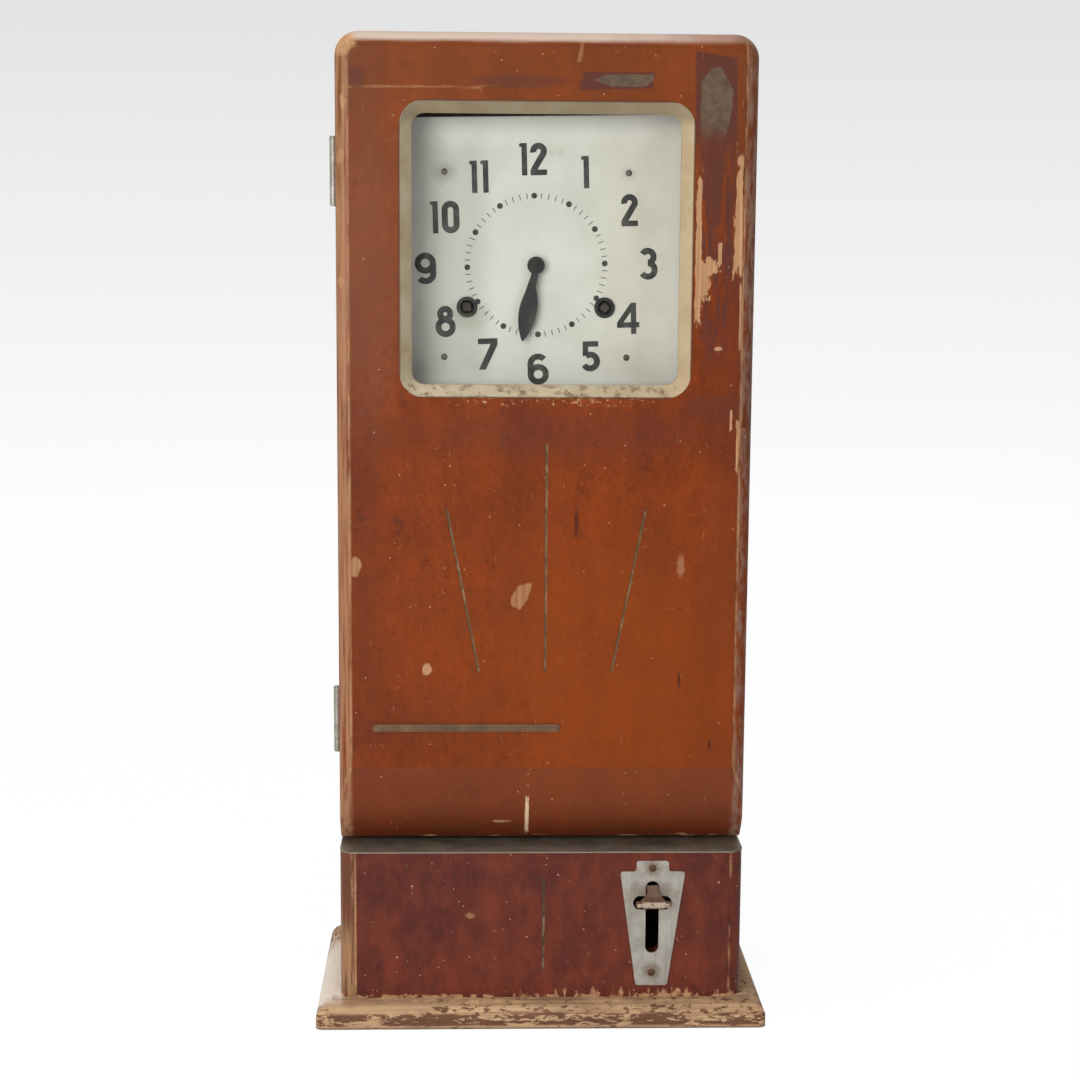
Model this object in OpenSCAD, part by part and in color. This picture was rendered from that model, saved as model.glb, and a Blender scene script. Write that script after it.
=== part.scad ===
// Time clock: a wooden card recorder with a glazed door, card table and print lever.
// Millimetres. X runs right, Y runs back, Z runs up, from under the middle of the base.

/* [Case] */
// Width across the case
case_w = 349; // [340:1:370]
// Height from the floor to the top
clock_h = 843; // [835:1:870]
// Depth from the door face to the back
case_d = 198; // [194:1:230]
// Thickness of the side boards
side_t = 16; // [12:1:17]
// Thickness of the top board
top_t = 22; // [21:0.5:26]
// Radius of the two top corners
corner_r = 20; // [17:0.5:21]
// Thickness of the back board
back_t = 10; // [6:1:12]
// Width of the quarter round along the front edges
edge_r = 12; // [9:0.5:13]
// Step between the flat face and the quarter round
edge_step = 1.2; // [0.6:0.1:2]

/* [Base] */
// How far the base stands out past the case
overhang = 20.5; // [19:0.5:26]
// Thickness of the base board
base_t = 21; // [20:0.5:26]
// Radius of the rounded base moulding
ovolo_r = 11.5; // [9:0.5:13]
// Drop from the top flat to the moulding
quirk = 2; // [1:0.5:3]

/* [Lower box] */
// Height of the card table above the floor
table_z = 153; // [151:0.5:156]
// Thickness of the card table plate
table_t = 1.5; // [1:0.1:2]
// Thickness of the lower front panel
lower_t = 16; // [14:0.5:18]
// How far the card table reaches in from the face
table_d = 150; // [140:1:156]
// Height of the card throat
throat_h = 4.5; // [4.3:0.1:7]

/* [Door] */
// Depth of the door from face to back
door_d = 44; // [41:0.5:46]
// Thickness of the door panel
panel_t = 18; // [16:0.5:20]
// Width of the door stiles
stile_w = 18; // [14:0.5:20]
// Height of the joint between chin rail and panel
chin_z = 227; // [222:0.5:232]
// Radius of the bowed chin
chin_r = 95; // [88:1:110]
// Width and height of the window opening
window_w = 244; // [230:1:250]
// From the top of the case down to the window centre
window_drop = 177; // [173:0.5:183]
// Width of the engraved lines
line_w = 2.4; // [1.6:0.1:3]
// Depth of the engraved lines
line_d = 1.2; // [0.6:0.1:2]
// Length of the bar on the door
trim_l = 160; // [120:1:200]
// Height of the bar on the door
trim_w = 6.5; // [5:0.5:9]
// Corner radius of the window opening
window_r = 21; // [16:0.5:24]
// Width of the sloping bezel
bezel_w = 10; // [8:0.5:12]
// Depth of the slope on the bezel
bezel_slope = 11; // [8:0.5:13]
// Thickness of the glass
glass_t = 3; // [2:0.1:4]
// Gap between door and case
door_gap = 1; // [0.8:0.1:1.6]

/* [Hinges] */
// Length of each hinge
hinge_l = 57; // [50:1:64]
// Diameter of the hinge barrel
barrel_dia = 6.4; // [6:0.1:7]
// Diameter of the hinge pin
pin_dia = 3; // [2.6:0.1:3.2]
// From the top of the case down to the upper hinge centre
hinge_drop = 112.5; // [100:0.5:140]
// From the card table up to the lower hinge centre
hinge_rise = 106.5; // [100:0.5:140]

/* [Dial and hands] */
// Sideways place of the dial centre
dial_x = -7; // [-9:0.5:0]
// How far the hands turn below the window centre
dial_sink = 13; // [11:0.5:17]
// Width of the dial plate
dial_w = 250; // [240:1:256]
// Height of the dial plate
dial_h = 236.4; // [228:0.2:246]
// How far the middle of the dial plate lies above the hands
dial_rise = 6.4; // [2:0.1:10]
// Turn of the dial plate, anticlockwise
dial_turn = 1; // [0:0.1:2]
// Length of the minute hand
minute_l = 65.7; // [60:0.1:72]
// Length of the hour hand
hour_l = 42; // [38:0.5:46]
// Rest angle of the minute hand, clockwise from the top
minute_angle = 190.2; // [0:0.1:359]

/* [Lever] */
// Sideways place of the lever and its plate
lever_x = 96; // [94:0.5:100]
// Height of the lever plate
shield_h = 112; // [111:0.5:114]
// Width of the lever plate across its shoulders
shield_w = 55.6; // [52:0.2:58]
// Width of the lever plate across its foot
foot_w = 28; // [26:0.5:32]
// Width of the slot that the lever runs in
slot_w = 11.6; // [11:0.1:13]
// Width of the lever neck
lever_neck = 10; // [8:0.1:10.4]
// Width of the finger pad
pad_w = 31; // [26:0.5:34]
// Depth of the finger pad from front to back
pad_d = 9.5; // [8:0.5:10]
// Thickness of the lever
lever_t = 3; // [2.4:0.1:3.4]
// Angle that the lever sinks through
lever_travel = 33; // [28:0.5:33]

/* [Fits] */
// Running clearance on a radius
run = 0.06; // [0.04:0.01:0.09]
// Clearance around a piece dropped into wood
fit = 0.2; // [0.1:0.05:0.3]
// Total play between gear teeth
play = 0.26; // [0.2:0.02:0.3]

/* [Hidden] */
$fn = 64;
base_w = case_w + 2 * overhang;
base_d = case_d + overhang;
front_y = overhang - base_d / 2;
back_y = base_d / 2;
half_w = case_w / 2;
in_w = half_w - side_t;
back_in = case_d - back_t;
deck_z = table_z - table_t;
chin_low = table_z + throat_h;
roof_z = clock_h - top_t;
flat_w = half_w - edge_r;
carcass = door_d + door_gap;
window_z = clock_h - window_drop;
dial_z = window_z - dial_sink;
hinge_top_z = clock_h - hinge_drop;
hinge_low_z = table_z + hinge_rise;
catch_z = (hinge_top_z + hinge_low_z) / 2;
line_x = 1.5;
trim_x = -65.5;
hinge_x = -half_w - barrel_dia / 2 - 0.2;
hinge_dep = door_d + door_gap / 2;
leaf_t = 1.3;
leaf_w = 16;
knuckle = hinge_l / 5;
// Depth of each layer of the movement behind the door face
minute_dep = 42.5;
hour_dep = 46.5;
dial_dep = 50;
dial_t = 1.2;
front_plate = 75;
plate_t = 3;
back_plate = front_plate + 47;
gear_dep = front_plate + plate_t;
pendulum_dep = back_plate + plate_t + 18;
plate_w = 208;
plate_h = 168;
pillar_x = 94;
pillar_z = 74;
post_off = 78;
// Barrel places beside and below the dial centre
wind_x = 58.7;
wind_z = -35.5;
mod_great = 1;
mod_mid = 0.9;
mod_train = 0.6;
mod_motion = 0.8;
great_n = 80;
mid_n = 60;
third_n = 75;
centre_n = 80;
leaf_n = 10;
centre_leaf_n = 12;
cannon_n = 15;
motion_n = 45;
motion_leaf_n = 12;
hour_n = 48;
escape_n = 48;
escape_r = 15.5;
ratchet_n = 24;
great_dist = (great_n + leaf_n) / 2 * mod_great;
mid_dist = (mid_n + centre_leaf_n) / 2 * mod_mid;
third_dist = (centre_n + leaf_n) / 2 * mod_train;
escape_dist = (third_n + leaf_n) / 2 * mod_train;
motion_dist = (cannon_n + motion_n) / 2 * mod_motion;
// The intermediate arbor lies where both its meshes are at their true distance
wind_dist = norm([wind_x, wind_z]);
wind_dir = atan2(wind_z, wind_x);
mid_lift = acos((mid_dist * mid_dist + wind_dist * wind_dist - great_dist * great_dist)
    / (2 * mid_dist * wind_dist));
mid_dir = wind_dir + mid_lift;
mid_x = mid_dist * cos(mid_dir);
mid_z = mid_dist * sin(mid_dir);
third_dir = 120;
third_x = third_dist * cos(third_dir);
third_z = third_dist * sin(third_dir);
escape_z = third_z + sqrt(escape_dist * escape_dist - third_x * third_x);
anchor_z = escape_z + 26;
// Tooth angles that put every wheel in mesh at rest
third_phase = mesh(0, centre_n, leaf_n, third_dir);
mid_phase = mesh(0, centre_leaf_n, mid_n, mid_dir);
great_dir = atan2(wind_z - mid_z, wind_x - mid_x);
great_phase = mesh(mid_phase, leaf_n, great_n, great_dir);
hour_angle = minute_angle / 12 + 180;
// The pendulum ends above the room that the printer needs
printer_room = 145;
bob_r = 38;
pendulum_l = dial_z + anchor_z - bob_r - table_z - printer_room;
// Printer places, as depth behind the face and height above the card table
shaft_dep = 85;
shaft_z = table_z - 58;
shaft_r = 5;
hammer_arm = 16;
type_dep = shaft_dep + hammer_arm;
type_r = 20;
ribbon_z = table_z + 5;
type_z = ribbon_z + type_r + 0.5;
bridge_dep = type_dep + type_r + 5;
bridge_t = 3;
spool_x = 80;
spool_z = table_z + 52;
spool_r = 22;
pack_r = 12;
guide_x = 44;
guide_r = 3;
hammer_tip = 3.5;
hammer_lift = 2 * hammer_arm * sin(lever_travel / 2);
lever_half = lever_travel / 2;
stem_w = 10;
stem_d = 8;
// Lever plate: its foot below the card table, its tab, shoulders and cross slot
plate_low = table_z - shield_h - 9;
shield_t = 1.6;
tab_w = foot_w;
tab_h = 9.5;
shield_r = 2.5;
cross_z = 0.665 * shield_h;
cross_w = pad_w + 2.4;
cross_h = 12.4;
cheek_x = [-45, 62];
cheek_t = 8;

// Y of a depth behind the door face
function dep(d) = front_y + d;

// A flat shape drawn in X and Z, filling the depths from d0 to d1
module slab(d0, d1) {
    translate([0, dep(d1), 0]) rotate([90, 0, 0]) linear_extrude(d1 - d0) children();
}

// A rod that runs back from depth d0 to d1
module rod(x, z, r, d0, d1) {
    translate([x, dep(d1), z]) rotate([90, 0, 0]) cylinder(h = d1 - d0, r = r);
}

// A rod along X
module bar(d, z, r, x0, x1) {
    translate([x0, dep(d), z]) rotate([0, 90, 0]) cylinder(h = x1 - x0, r = r);
}

// A plain block between two corners, given as X, depth and Z
module block(a, b) {
    translate([a[0], dep(a[1]), a[2]]) cube([b[0] - a[0], b[1] - a[1], b[2] - a[2]]);
}

// A rectangle about its middle with round corners
module rounded(w, h, r) {
    square([w - 2 * r, h], center = true);
    square([w, h - 2 * r], center = true);
    for (sx = [-1, 1], sz = [-1, 1])
        translate([sx * (w / 2 - r), sz * (h / 2 - r)]) circle(r);
}

// A straight groove or bar with round ends, drawn from a to b
module strip(a, b, w) {
    run_l = norm(b - a);
    translate(a) rotate(atan2(b[1] - a[1], b[0] - a[0])) {
        translate([0, -w / 2]) square([run_l, w]);
        circle(w / 2);
        translate([run_l, 0]) circle(w / 2);
    }
}

// A countersunk screw with its head up, point down along -Z
module flat_screw(r, len) {
    difference() {
        union() {
            translate([0, 0, -r]) cylinder(h = r, r1 = r * 0.5, r2 = r);
            translate([0, 0, -len]) cylinder(h = len - r * 0.9, r = r * 0.5);
        }
        translate([-r, -0.35, -0.5]) cube([2 * r, 0.7, 1]);
    }
}

// A domed screw with its seat at Z 0, head up
module dome_screw(r, len) {
    difference() {
        union() {
            intersection() {
                translate([0, 0, -r * 0.5]) sphere(r * 1.12);
                cylinder(h = r, r = r);
            }
            translate([0, 0, -len]) cylinder(h = len + 0.2, r = r * 0.5);
        }
        translate([-r, -0.35, r * 0.32]) cube([2 * r, 0.7, r]);
    }
}

// Half the angle of a tooth at radius r, for n teeth on pitch radius p
function involute(a) = tan(a) * 180 / PI - a;
function tooth_half(n, p, r, thin) = 90 / n - thin / p * 180 / PI + involute(20)
    - involute(acos(min(1, p * cos(20) / max(r, p * cos(20)))));
function tooth_side(n, p, r, thin, c, s) =
    let (a = c + s * tooth_half(n, p, r, thin)) [r * cos(a), r * sin(a)];

// A toothed wheel outline, turned so that one tooth lies at the angle phase
module gear(n, m, add, ded, phase) {
    p = n * m / 2;
    thin = play / 4;
    radii = [p - ded * m, p, p + add * m];
    polygon([for (k = [0 : n - 1], s = [-1, 1], i = [0 : 2])
        tooth_side(n, p, radii[s < 0 ? i : 2 - i], thin, phase + 360 * k / n, s)]);
}
module wheel_teeth(n, m, phase) { gear(n, m, 0.65, 1.15, phase); }
module leaf_teeth(n, m, phase) { gear(n, m, 0.85, 0.95, phase); }

// Tooth angle that fits a wheel of n2 teeth into one of n1 teeth turned to a1
function mesh(a1, n1, n2, dir) = dir + 180 - (0.5 - (dir - a1) * n1 / 360) * 360 / n2;

// Everything below at the dial centre
module at_dial() { translate([dial_x, 0, dial_z]) children(); }

// Front outline of the door or case with round top corners, between two heights
module arch(w, z0, z1, r) {
    translate([-w, z0]) square([2 * w, z1 - r - z0]);
    translate([r - w, z0]) square([2 * (w - r), z1 - z0]);
    for (sx = [-1, 1]) translate([sx * (w - r), z1 - r]) circle(r);
}

// Section of the quarter round: X outwards from the flat face, Y as depth
module edge_section(depth) {
    translate([-0.5, edge_step]) square([0.5, depth - edge_step]);
    translate([0, edge_step + edge_r]) square([edge_r, depth - edge_step - edge_r]);
    intersection() {
        translate([0, edge_step]) square([edge_r, edge_r]);
        translate([0, edge_step + edge_r]) circle(edge_r);
    }
}

// A vertical quarter round edge on each side
module upright_edges(depth, z0, z1) {
    for (sx = [0, 1]) mirror([sx, 0, 0])
        translate([flat_w, front_y, z0]) linear_extrude(z1 - z0) edge_section(depth);
}

// Board under the case, moulded on the front and both ends
module base_section(half) {
    in = half - ovolo_r;
    intersection() {
        translate([-half, 0]) square([2 * half, base_t]);
        union() {
            translate([-half, 0]) square([2 * half, base_t - quirk - ovolo_r]);
            translate([-in, 0]) square([2 * in, base_t - quirk]);
            for (sx = [-1, 1])
                translate([sx * in, base_t - quirk - ovolo_r]) circle(ovolo_r);
            translate([1.5 - in, 0]) square([2 * in - 3, base_t]);
        }
    }
}
module base_board() {
    color("tan") intersection() {
        translate([0, back_y, 0]) rotate([90, 0, 0]) linear_extrude(base_d)
            base_section(base_w / 2);
        translate([-base_w / 2, base_d / 2, 0]) rotate([90, 0, 90])
            linear_extrude(base_w) base_section(base_d);
        linear_extrude(base_t) translate([0, 15]) rounded(base_w, base_d + 30, 7);
        translate([-base_w / 2, -base_d / 2, 0]) cube([base_w, base_d, base_t]);
    }
}

// Side board, deep under the card table and cut back above it for the door
module side_board() {
    difference() {
        union() {
            block([-half_w, lower_t, base_t], [-in_w, case_d, deck_z]);
            block([-half_w, carcass, deck_z], [-in_w, case_d, roof_z]);
        }
        children();
    }
}
module left_side() {
    color("saddlebrown") side_board() {
        for (z = [hinge_top_z, hinge_low_z]) {
            block([-half_w - 1, carcass - 1, z - hinge_l / 2 - fit],
                [leaf_w - half_w + fit, hinge_dep + 0.2 + leaf_t + 0.05, z + hinge_l / 2 + fit]);
            hinge_holes(z) {
                rod(0, 0, 1.55, carcass, carcass + 17);
                translate([0, dep(hinge_dep + 0.2), 0]) rotate([90, 0, 0]) flat_screw_room();
            }
        }
    }
}
module right_side() {
    color("saddlebrown") mirror([1, 0, 0]) side_board();
}
module top_board() {
    color("saddlebrown") slab(carcass, case_d) intersection() {
        arch(half_w, roof_z - 30, clock_h, corner_r);
        translate([-half_w, roof_z]) square([case_w, top_t]);
    }
}
module back_board() {
    color("sienna") difference() {
        block([-in_w, back_in, base_t], [in_w, case_d, roof_z]);
        at_dial() for (sx = [-1, 1], sz = [-1, 1])
            rod(sx * pillar_x, sz * pillar_z, 2.6, back_in - 1, case_d + 1);
    }
}

// Panel below the card table with the lever opening and one engraved line
module lower_front_panel() {
    color("saddlebrown") difference() {
        union() {
            block([-flat_w, 0, base_t], [flat_w, lower_t, deck_z]);
            upright_edges(lower_t, base_t, deck_z);
        }
        slab(-1, lower_t + 1) lever_slot(1.6);
        slab(-1, line_d) strip([line_x, plate_low + 15], [line_x, plate_low + 96], line_w);
        for (z = escutcheon_screw_z()) rod(lever_x, z, 1.75, -1, 12);
    }
}

// Opening in the lever plate, grown by g all round
module lever_slot(g) {
    half_cross = (cross_w - cross_h) / 2;
    translate([lever_x, plate_low]) {
        strip([0, 0.313 * shield_h], [0, 0.788 * shield_h], slot_w + 2 * g);
        strip([-half_cross, cross_z], [half_cross, cross_z], cross_h + 2 * g);
    }
}
function escutcheon_screw_z() = [plate_low + 11.5, plate_low + shield_h - 6.5];

// Points of an arc about c, for rounded corners
function turn(c, r, a0, a1) = [for (k = [0 : 6]) let (a = a0 + (a1 - a0) * k / 6)
    [c[0] + r * cos(a), c[1] + r * sin(a)]];

// Shield-shaped plate: broad shoulders, narrow foot and a tab on top
module escutcheon_outline() {
    r = shield_r;
    shoulder = shield_h - tab_h;
    lean = atan2((shield_w - foot_w) / 2, shoulder);
    right = concat(turn([foot_w / 2 - r, r], r, -90, -lean),
        turn([shield_w / 2 - r, shoulder - r], r, -lean, 90),
        turn([tab_w / 2 + r, shoulder + r], r, -90, -180),
        turn([tab_w / 2 - r, shield_h - r], r, 0, 90));
    translate([lever_x, plate_low])
        polygon(concat(right, [for (i = [len(right) - 1 : -1 : 0]) [-right[i][0], right[i][1]]]));
}
module lever_escutcheon() {
    color("silver") difference() {
        slab(-shield_t, 0) escutcheon_outline();
        slab(-3, 1) lever_slot(0);
        for (z = escutcheon_screw_z()) rod(lever_x, z, 1.75, -3, 1);
    }
}
module escutcheon_screws() {
    color("dimgray") for (z = escutcheon_screw_z())
        translate([lever_x, dep(-shield_t), z]) rotate([90, 25, 0]) dome_screw(3.3, 12);
}

// Metal plate that the card slides in on, with the hammer opening
module card_table() {
    color("silver") difference() {
        union() {
            translate([0, dep(21.5), deck_z]) linear_extrude(table_t)
                rounded(case_w, 46, edge_r);
            block([-half_w, 15, deck_z], [half_w, carcass - 0.5, table_z]);
            block([0.3 - in_w, 40, deck_z], [in_w - 0.3, table_d, table_z]);
        }
        block([-24, type_dep - 11, deck_z - 1], [24, type_dep + 11, table_z + 1]);
    }
}
module table_cleats() {
    color("peru") for (sx = [0, 1]) mirror([sx, 0, 0])
        block([in_w - 12, carcass + 1, deck_z - 12], [in_w, table_d, deck_z]);
}

// Places of the three screws in one hinge leaf
module hinge_holes(z) {
    for (k = [-1 : 1])
        translate([8 - half_w + (k == 0 ? 2.5 : 0), 0, z + k * 0.34 * hinge_l]) children();
}

// One hinge leaf with its knuckles; first is the lowest knuckle it owns
module hinge_leaf(z, first, d0, d1) {
    other = 1 - first;
    difference() {
        union() {
            block([hinge_x, d0, z - hinge_l / 2], [leaf_w - half_w, d1, z + hinge_l / 2]);
            for (k = [first : 2 : 4])
                translate([hinge_x, dep(hinge_dep), z - hinge_l / 2 + k * knuckle + 0.15])
                    cylinder(h = knuckle - 0.3, r = barrel_dia / 2);
        }
        for (k = [other : 2 : 4])
            translate([hinge_x, dep(hinge_dep), z - hinge_l / 2 + k * knuckle - 0.15])
                cylinder(h = knuckle + 0.3, r = barrel_dia / 2 + 0.4);
        translate([hinge_x, dep(hinge_dep), z - hinge_l / 2 - 1])
            cylinder(h = hinge_l + 2, r = pin_dia / 2 + run);
        children();
    }
}
module case_hinge_leaves() {
    color("gray") for (z = [hinge_top_z, hinge_low_z])
        hinge_leaf(z, 0, hinge_dep + 0.2, hinge_dep + 0.2 + leaf_t)
            hinge_holes(z) translate([0, dep(hinge_dep + 0.2), 0])
                rotate([90, 0, 0]) flat_screw_room();
}
module door_hinge_leaves() {
    color("gray") for (z = [hinge_top_z, hinge_low_z])
        hinge_leaf(z, 1, hinge_dep - 0.2 - leaf_t, hinge_dep - 0.2)
            hinge_holes(z) translate([0, dep(hinge_dep - 0.2), 0])
                rotate([-90, 0, 0]) flat_screw_room();
}
module flat_screw_room() {
    translate([0, 0, -3]) cylinder(h = 3, r1 = 1.6, r2 = 3.1);
    translate([0, 0, -9]) cylinder(h = 7, r = 1.55);
    cylinder(h = 1, r = 3.1);
}
module case_hinge_screws() {
    color("dimgray") for (z = [hinge_top_z, hinge_low_z]) hinge_holes(z)
        translate([0, dep(hinge_dep + 0.25), 0]) rotate([90, 20, 0]) flat_screw(2.9, 15);
}
module door_hinge_screws() {
    color("dimgray") for (z = [hinge_top_z, hinge_low_z]) hinge_holes(z)
        translate([0, dep(hinge_dep - 0.25), 0]) rotate([-90, 20, 0]) flat_screw(2.9, 15);
}
module hinge_pins() {
    color("gray") for (z = [hinge_top_z, hinge_low_z])
        translate([hinge_x, dep(hinge_dep), z - hinge_l / 2 - 0.6]) {
            cylinder(h = hinge_l + 1.2, r = pin_dia / 2);
            cylinder(h = 0.5, r = barrel_dia / 2 - 0.4);
            translate([0, 0, hinge_l + 0.7]) cylinder(h = 0.5, r = barrel_dia / 2 - 0.4);
        }
}

// Box catch on the right side and the tongue on the door that runs into it
module door_catch() {
    color("gray") difference() {
        block([in_w - 12, carcass + 2, catch_z - 14], [in_w, carcass + 24, catch_z + 14]);
        block([in_w - 9, carcass + 1, catch_z - 9], [in_w - 3, carcass + 20, catch_z + 9]);
    }
}
module catch_tongue() {
    color("gray") {
        block([in_w - 7.2, door_d, catch_z - 8], [in_w - 4.8, carcass + 15, catch_z + 8]);
        block([in_w - 7.2, door_d - 1.5, catch_z - 8], [in_w + 9, door_d, catch_z + 8]);
    }
}

// Door panel: flat board with a quarter round on three edges, window and lines
module door_panel() {
    inner_r = corner_r - edge_r;
    color("sienna") difference() {
        union() {
            slab(0, panel_t) arch(flat_w, chin_z, clock_h - edge_r, inner_r);
            upright_edges(panel_t, chin_z, clock_h - corner_r);
            for (sx = [0, 1]) mirror([sx, 0, 0])
                translate([half_w - corner_r, front_y, clock_h - corner_r])
                    rotate([-90, 0, 0]) rotate_extrude(angle = -90)
                        translate([inner_r, 0]) edge_section(panel_t);
            translate([half_w - corner_r, front_y, clock_h - edge_r]) rotate([0, -90, 0])
                linear_extrude(case_w - 2 * corner_r) edge_section(panel_t);
        }
        translate([0, 0, window_z]) slab(-1, panel_t + 1)
            rounded(window_w, window_w, window_r);
        slab(-1, line_d) translate([line_x, chin_z]) {
            strip([0, 85], [0, 278], line_w);
            for (sx = [-1, 1]) strip([sx * 83.6, 222], [sx * 56.8, 85], line_w);
        }
    }
}

// Bowed rail under the panel: the straight moulded edges cut back to a long drum
module door_chin_rail() {
    color("sienna") intersection() {
        union() {
            block([-flat_w, 0, chin_low], [flat_w, door_d, chin_z]);
            upright_edges(door_d, chin_low, chin_z);
        }
        translate([-half_w - 1, dep(chin_r), chin_z]) rotate([0, 90, 0])
            cylinder(h = case_w + 2, r = chin_r, $fn = 128);
    }
}
module door_stiles() {
    color("peru") difference() {
        for (sx = [-1, 1]) block([sx > 0 ? half_w - stile_w : -half_w, panel_t, chin_z],
            [sx > 0 ? half_w : stile_w - half_w, door_d, roof_z]);
        for (z = [hinge_top_z, hinge_low_z]) {
            block([-half_w - 1, hinge_dep - 0.25 - leaf_t, z - hinge_l / 2 - fit],
                [leaf_w - half_w + fit, door_d + 1, z + hinge_l / 2 + fit]);
            hinge_holes(z) {
                rod(0, 0, 1.55, door_d - 17, door_d);
                translate([0, dep(hinge_dep - 0.2), 0]) rotate([-90, 0, 0]) flat_screw_room();
            }
        }
        block([in_w - 8, door_d - 1.6, catch_z - 8.2], [in_w + 9.2, door_d + 1, catch_z + 8.2]);
    }
}
module door_top_rail() {
    color("peru") slab(panel_t, door_d) intersection() {
        arch(half_w, roof_z - 30, clock_h, corner_r);
        translate([-half_w, roof_z]) square([case_w, top_t]);
    }
}

// Bevelled frame let into the window opening: four lengths and four corners
module bezel_section() {
    polygon([[0, 0.8], [0.8, 0.8], [bezel_w, 0.8 + bezel_slope], [bezel_w, panel_t], [0, panel_t]]);
}
module window_bezel() {
    half = window_w / 2 - fit;
    r = window_r - fit;
    long = 2 * (half - r);
    color("wheat") translate([0, front_y, window_z]) for (q = [0 : 3]) rotate([0, 90 * q, 0]) {
        translate([half, 0, -long / 2]) linear_extrude(long) mirror([1, 0, 0]) bezel_section();
        translate([half - r, 0, half - r]) rotate([-90, 0, 0]) rotate_extrude(angle = -90)
            translate([r, 0]) mirror([1, 0, 0]) bezel_section();
    }
}
module glass_pane() {
    color("lightcyan", 0.3) translate([0, 0, window_z]) slab(panel_t, panel_t + glass_t)
        square(window_w + 16, center = true);
}
module glass_beads() {
    size = window_w + 16;
    color("peru") translate([0, 0, window_z]) difference() {
        slab(panel_t, panel_t + glass_t + 4) square(size + 16, center = true);
        slab(panel_t - 1, panel_t + glass_t) square(size + 2 * fit, center = true);
        slab(panel_t - 1, panel_t + glass_t + 5) square(size - 10, center = true);
        for (a = [45, 135]) rotate([0, a, 0])
            block([-400, panel_t - 1, -0.1], [400, panel_t + 30, 0.1]);
    }
}
module trim_bar() {
    half = (trim_l - trim_w) / 2;
    color("rosybrown") slab(-1.6, 0) translate([trim_x, chin_z + 35])
        strip([-half, 0], [half, 0], trim_w);
}

// Movement frame
module corner_rods(x, z, r, d0, d1) {
    at_dial() for (sx = [-1, 1], sz = [-1, 1]) rod(sx * x, sz * z, r, d0, d1);
}
module movement_posts() {
    color("gray") {
        corner_rods(pillar_x, pillar_z, 6, back_plate + plate_t, back_in);
        corner_rods(pillar_x, pillar_z, 2.5, back_in, case_d);
    }
}
module movement_pillars() {
    color("goldenrod") {
        corner_rods(pillar_x, pillar_z, 5, front_plate + plate_t, back_plate);
        difference() {
            corner_rods(post_off, post_off, 4, dial_dep + dial_t, front_plate);
            corner_rods(post_off, post_off, 1.45, dial_dep, dial_dep + 9);
        }
    }
}
module plate_outline() { rounded(plate_w, plate_h, 10); }
module arbor_hole(x, z, r) { rod(x, z, r + run, front_plate - 1, back_plate + plate_t + 1); }
module pivot_holes() {
    at_dial() {
        for (sx = [-1, 1]) {
            arbor_hole(sx * wind_x, wind_z, 5);
            arbor_hole(sx * mid_x, mid_z, 2.5);
        }
        arbor_hole(0, 0, 2.5);
        arbor_hole(third_x, third_z, 2);
        arbor_hole(0, escape_z, 2);
        arbor_hole(0, anchor_z, 2);
    }
}
module movement_front_plate() {
    color("goldenrod") difference() {
        union() {
            at_dial() slab(front_plate, front_plate + plate_t) plate_outline();
            at_dial() rod(0, -motion_dist, 2.5, front_plate - 16.5, front_plate + 1);
            at_dial() rod(0, -motion_dist, 4.5, front_plate - 4.5, front_plate + 1);
        }
        pivot_holes();
    }
}
module movement_back_plate() {
    color("goldenrod") difference() {
        at_dial() slab(back_plate, back_plate + plate_t) plate_outline();
        pivot_holes();
    }
}

// Dial, a little turned on its feet; the holes stay true to the movement
module dial_plate() {
    color("ivory") difference() {
        at_dial() slab(dial_dep, dial_dep + dial_t) rotate(dial_turn)
            translate([0, dial_rise]) rounded(dial_w, dial_h, 4);
        at_dial() rod(0, 0, 7.5, dial_dep - 1, dial_dep + 5);
        at_dial() for (sx = [-1, 1]) rod(sx * wind_x, wind_z, 8, dial_dep - 1, dial_dep + 5);
        corner_rods(post_off, post_off, 1.45, dial_dep - 1, dial_dep + 9);
    }
}
module dial_screws() {
    color("dimgray") at_dial() for (sx = [-1, 1], sz = [-1, 1])
        translate([sx * post_off, dep(dial_dep), sz * post_off])
            rotate([90, 40 * sx + 15 * sz, 0]) dome_screw(2.8, 8);
}
module winding_grommets() {
    color("black") at_dial() for (sx = [-1, 1]) difference() {
        union() {
            rod(sx * wind_x, wind_z, 8.85, dial_dep - 1.2, dial_dep);
            rod(sx * wind_x, wind_z, 7.9, dial_dep - 0.1, dial_dep + dial_t + 1.5);
        }
        rod(sx * wind_x, wind_z, 6, dial_dep - 3, dial_dep + 6);
    }
}
module ratchet_clicks() {
    color("silver") at_dial() for (sx = [-1, 1])
        translate([sx * wind_x, 0, wind_z]) slab(back_plate + plate_t, back_plate + plate_t + 4)
            mirror([sx > 0 ? 0 : 1, 0]) {
                translate([4, 21]) circle(4);
                polygon([[0.5, 19], [7, 19], [3, 14], [-4, 12.4], [-4, 14]]);
            }
}

// Bracket behind the back plate with the stud that the pendulum hangs on
module pendulum_cock() {
    d0 = back_plate + plate_t;
    color("goldenrod") at_dial() translate([0, 0, anchor_z]) {
        difference() {
            block([-12, d0, 6], [12, d0 + 28, 11]);
            block([-30, d0 + 5, 5], [30, d0 + 24, 8]);
        }
        block([-12, d0, 6], [12, d0 + 3, 12]);
        block([-7, d0 + 25, -7], [7, d0 + 28, 8]);
        rod(0, 0, 3, d0 + 10, d0 + 26);
        rod(0, 0, 5, d0 + 9, d0 + 10.5);
    }
}

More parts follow.
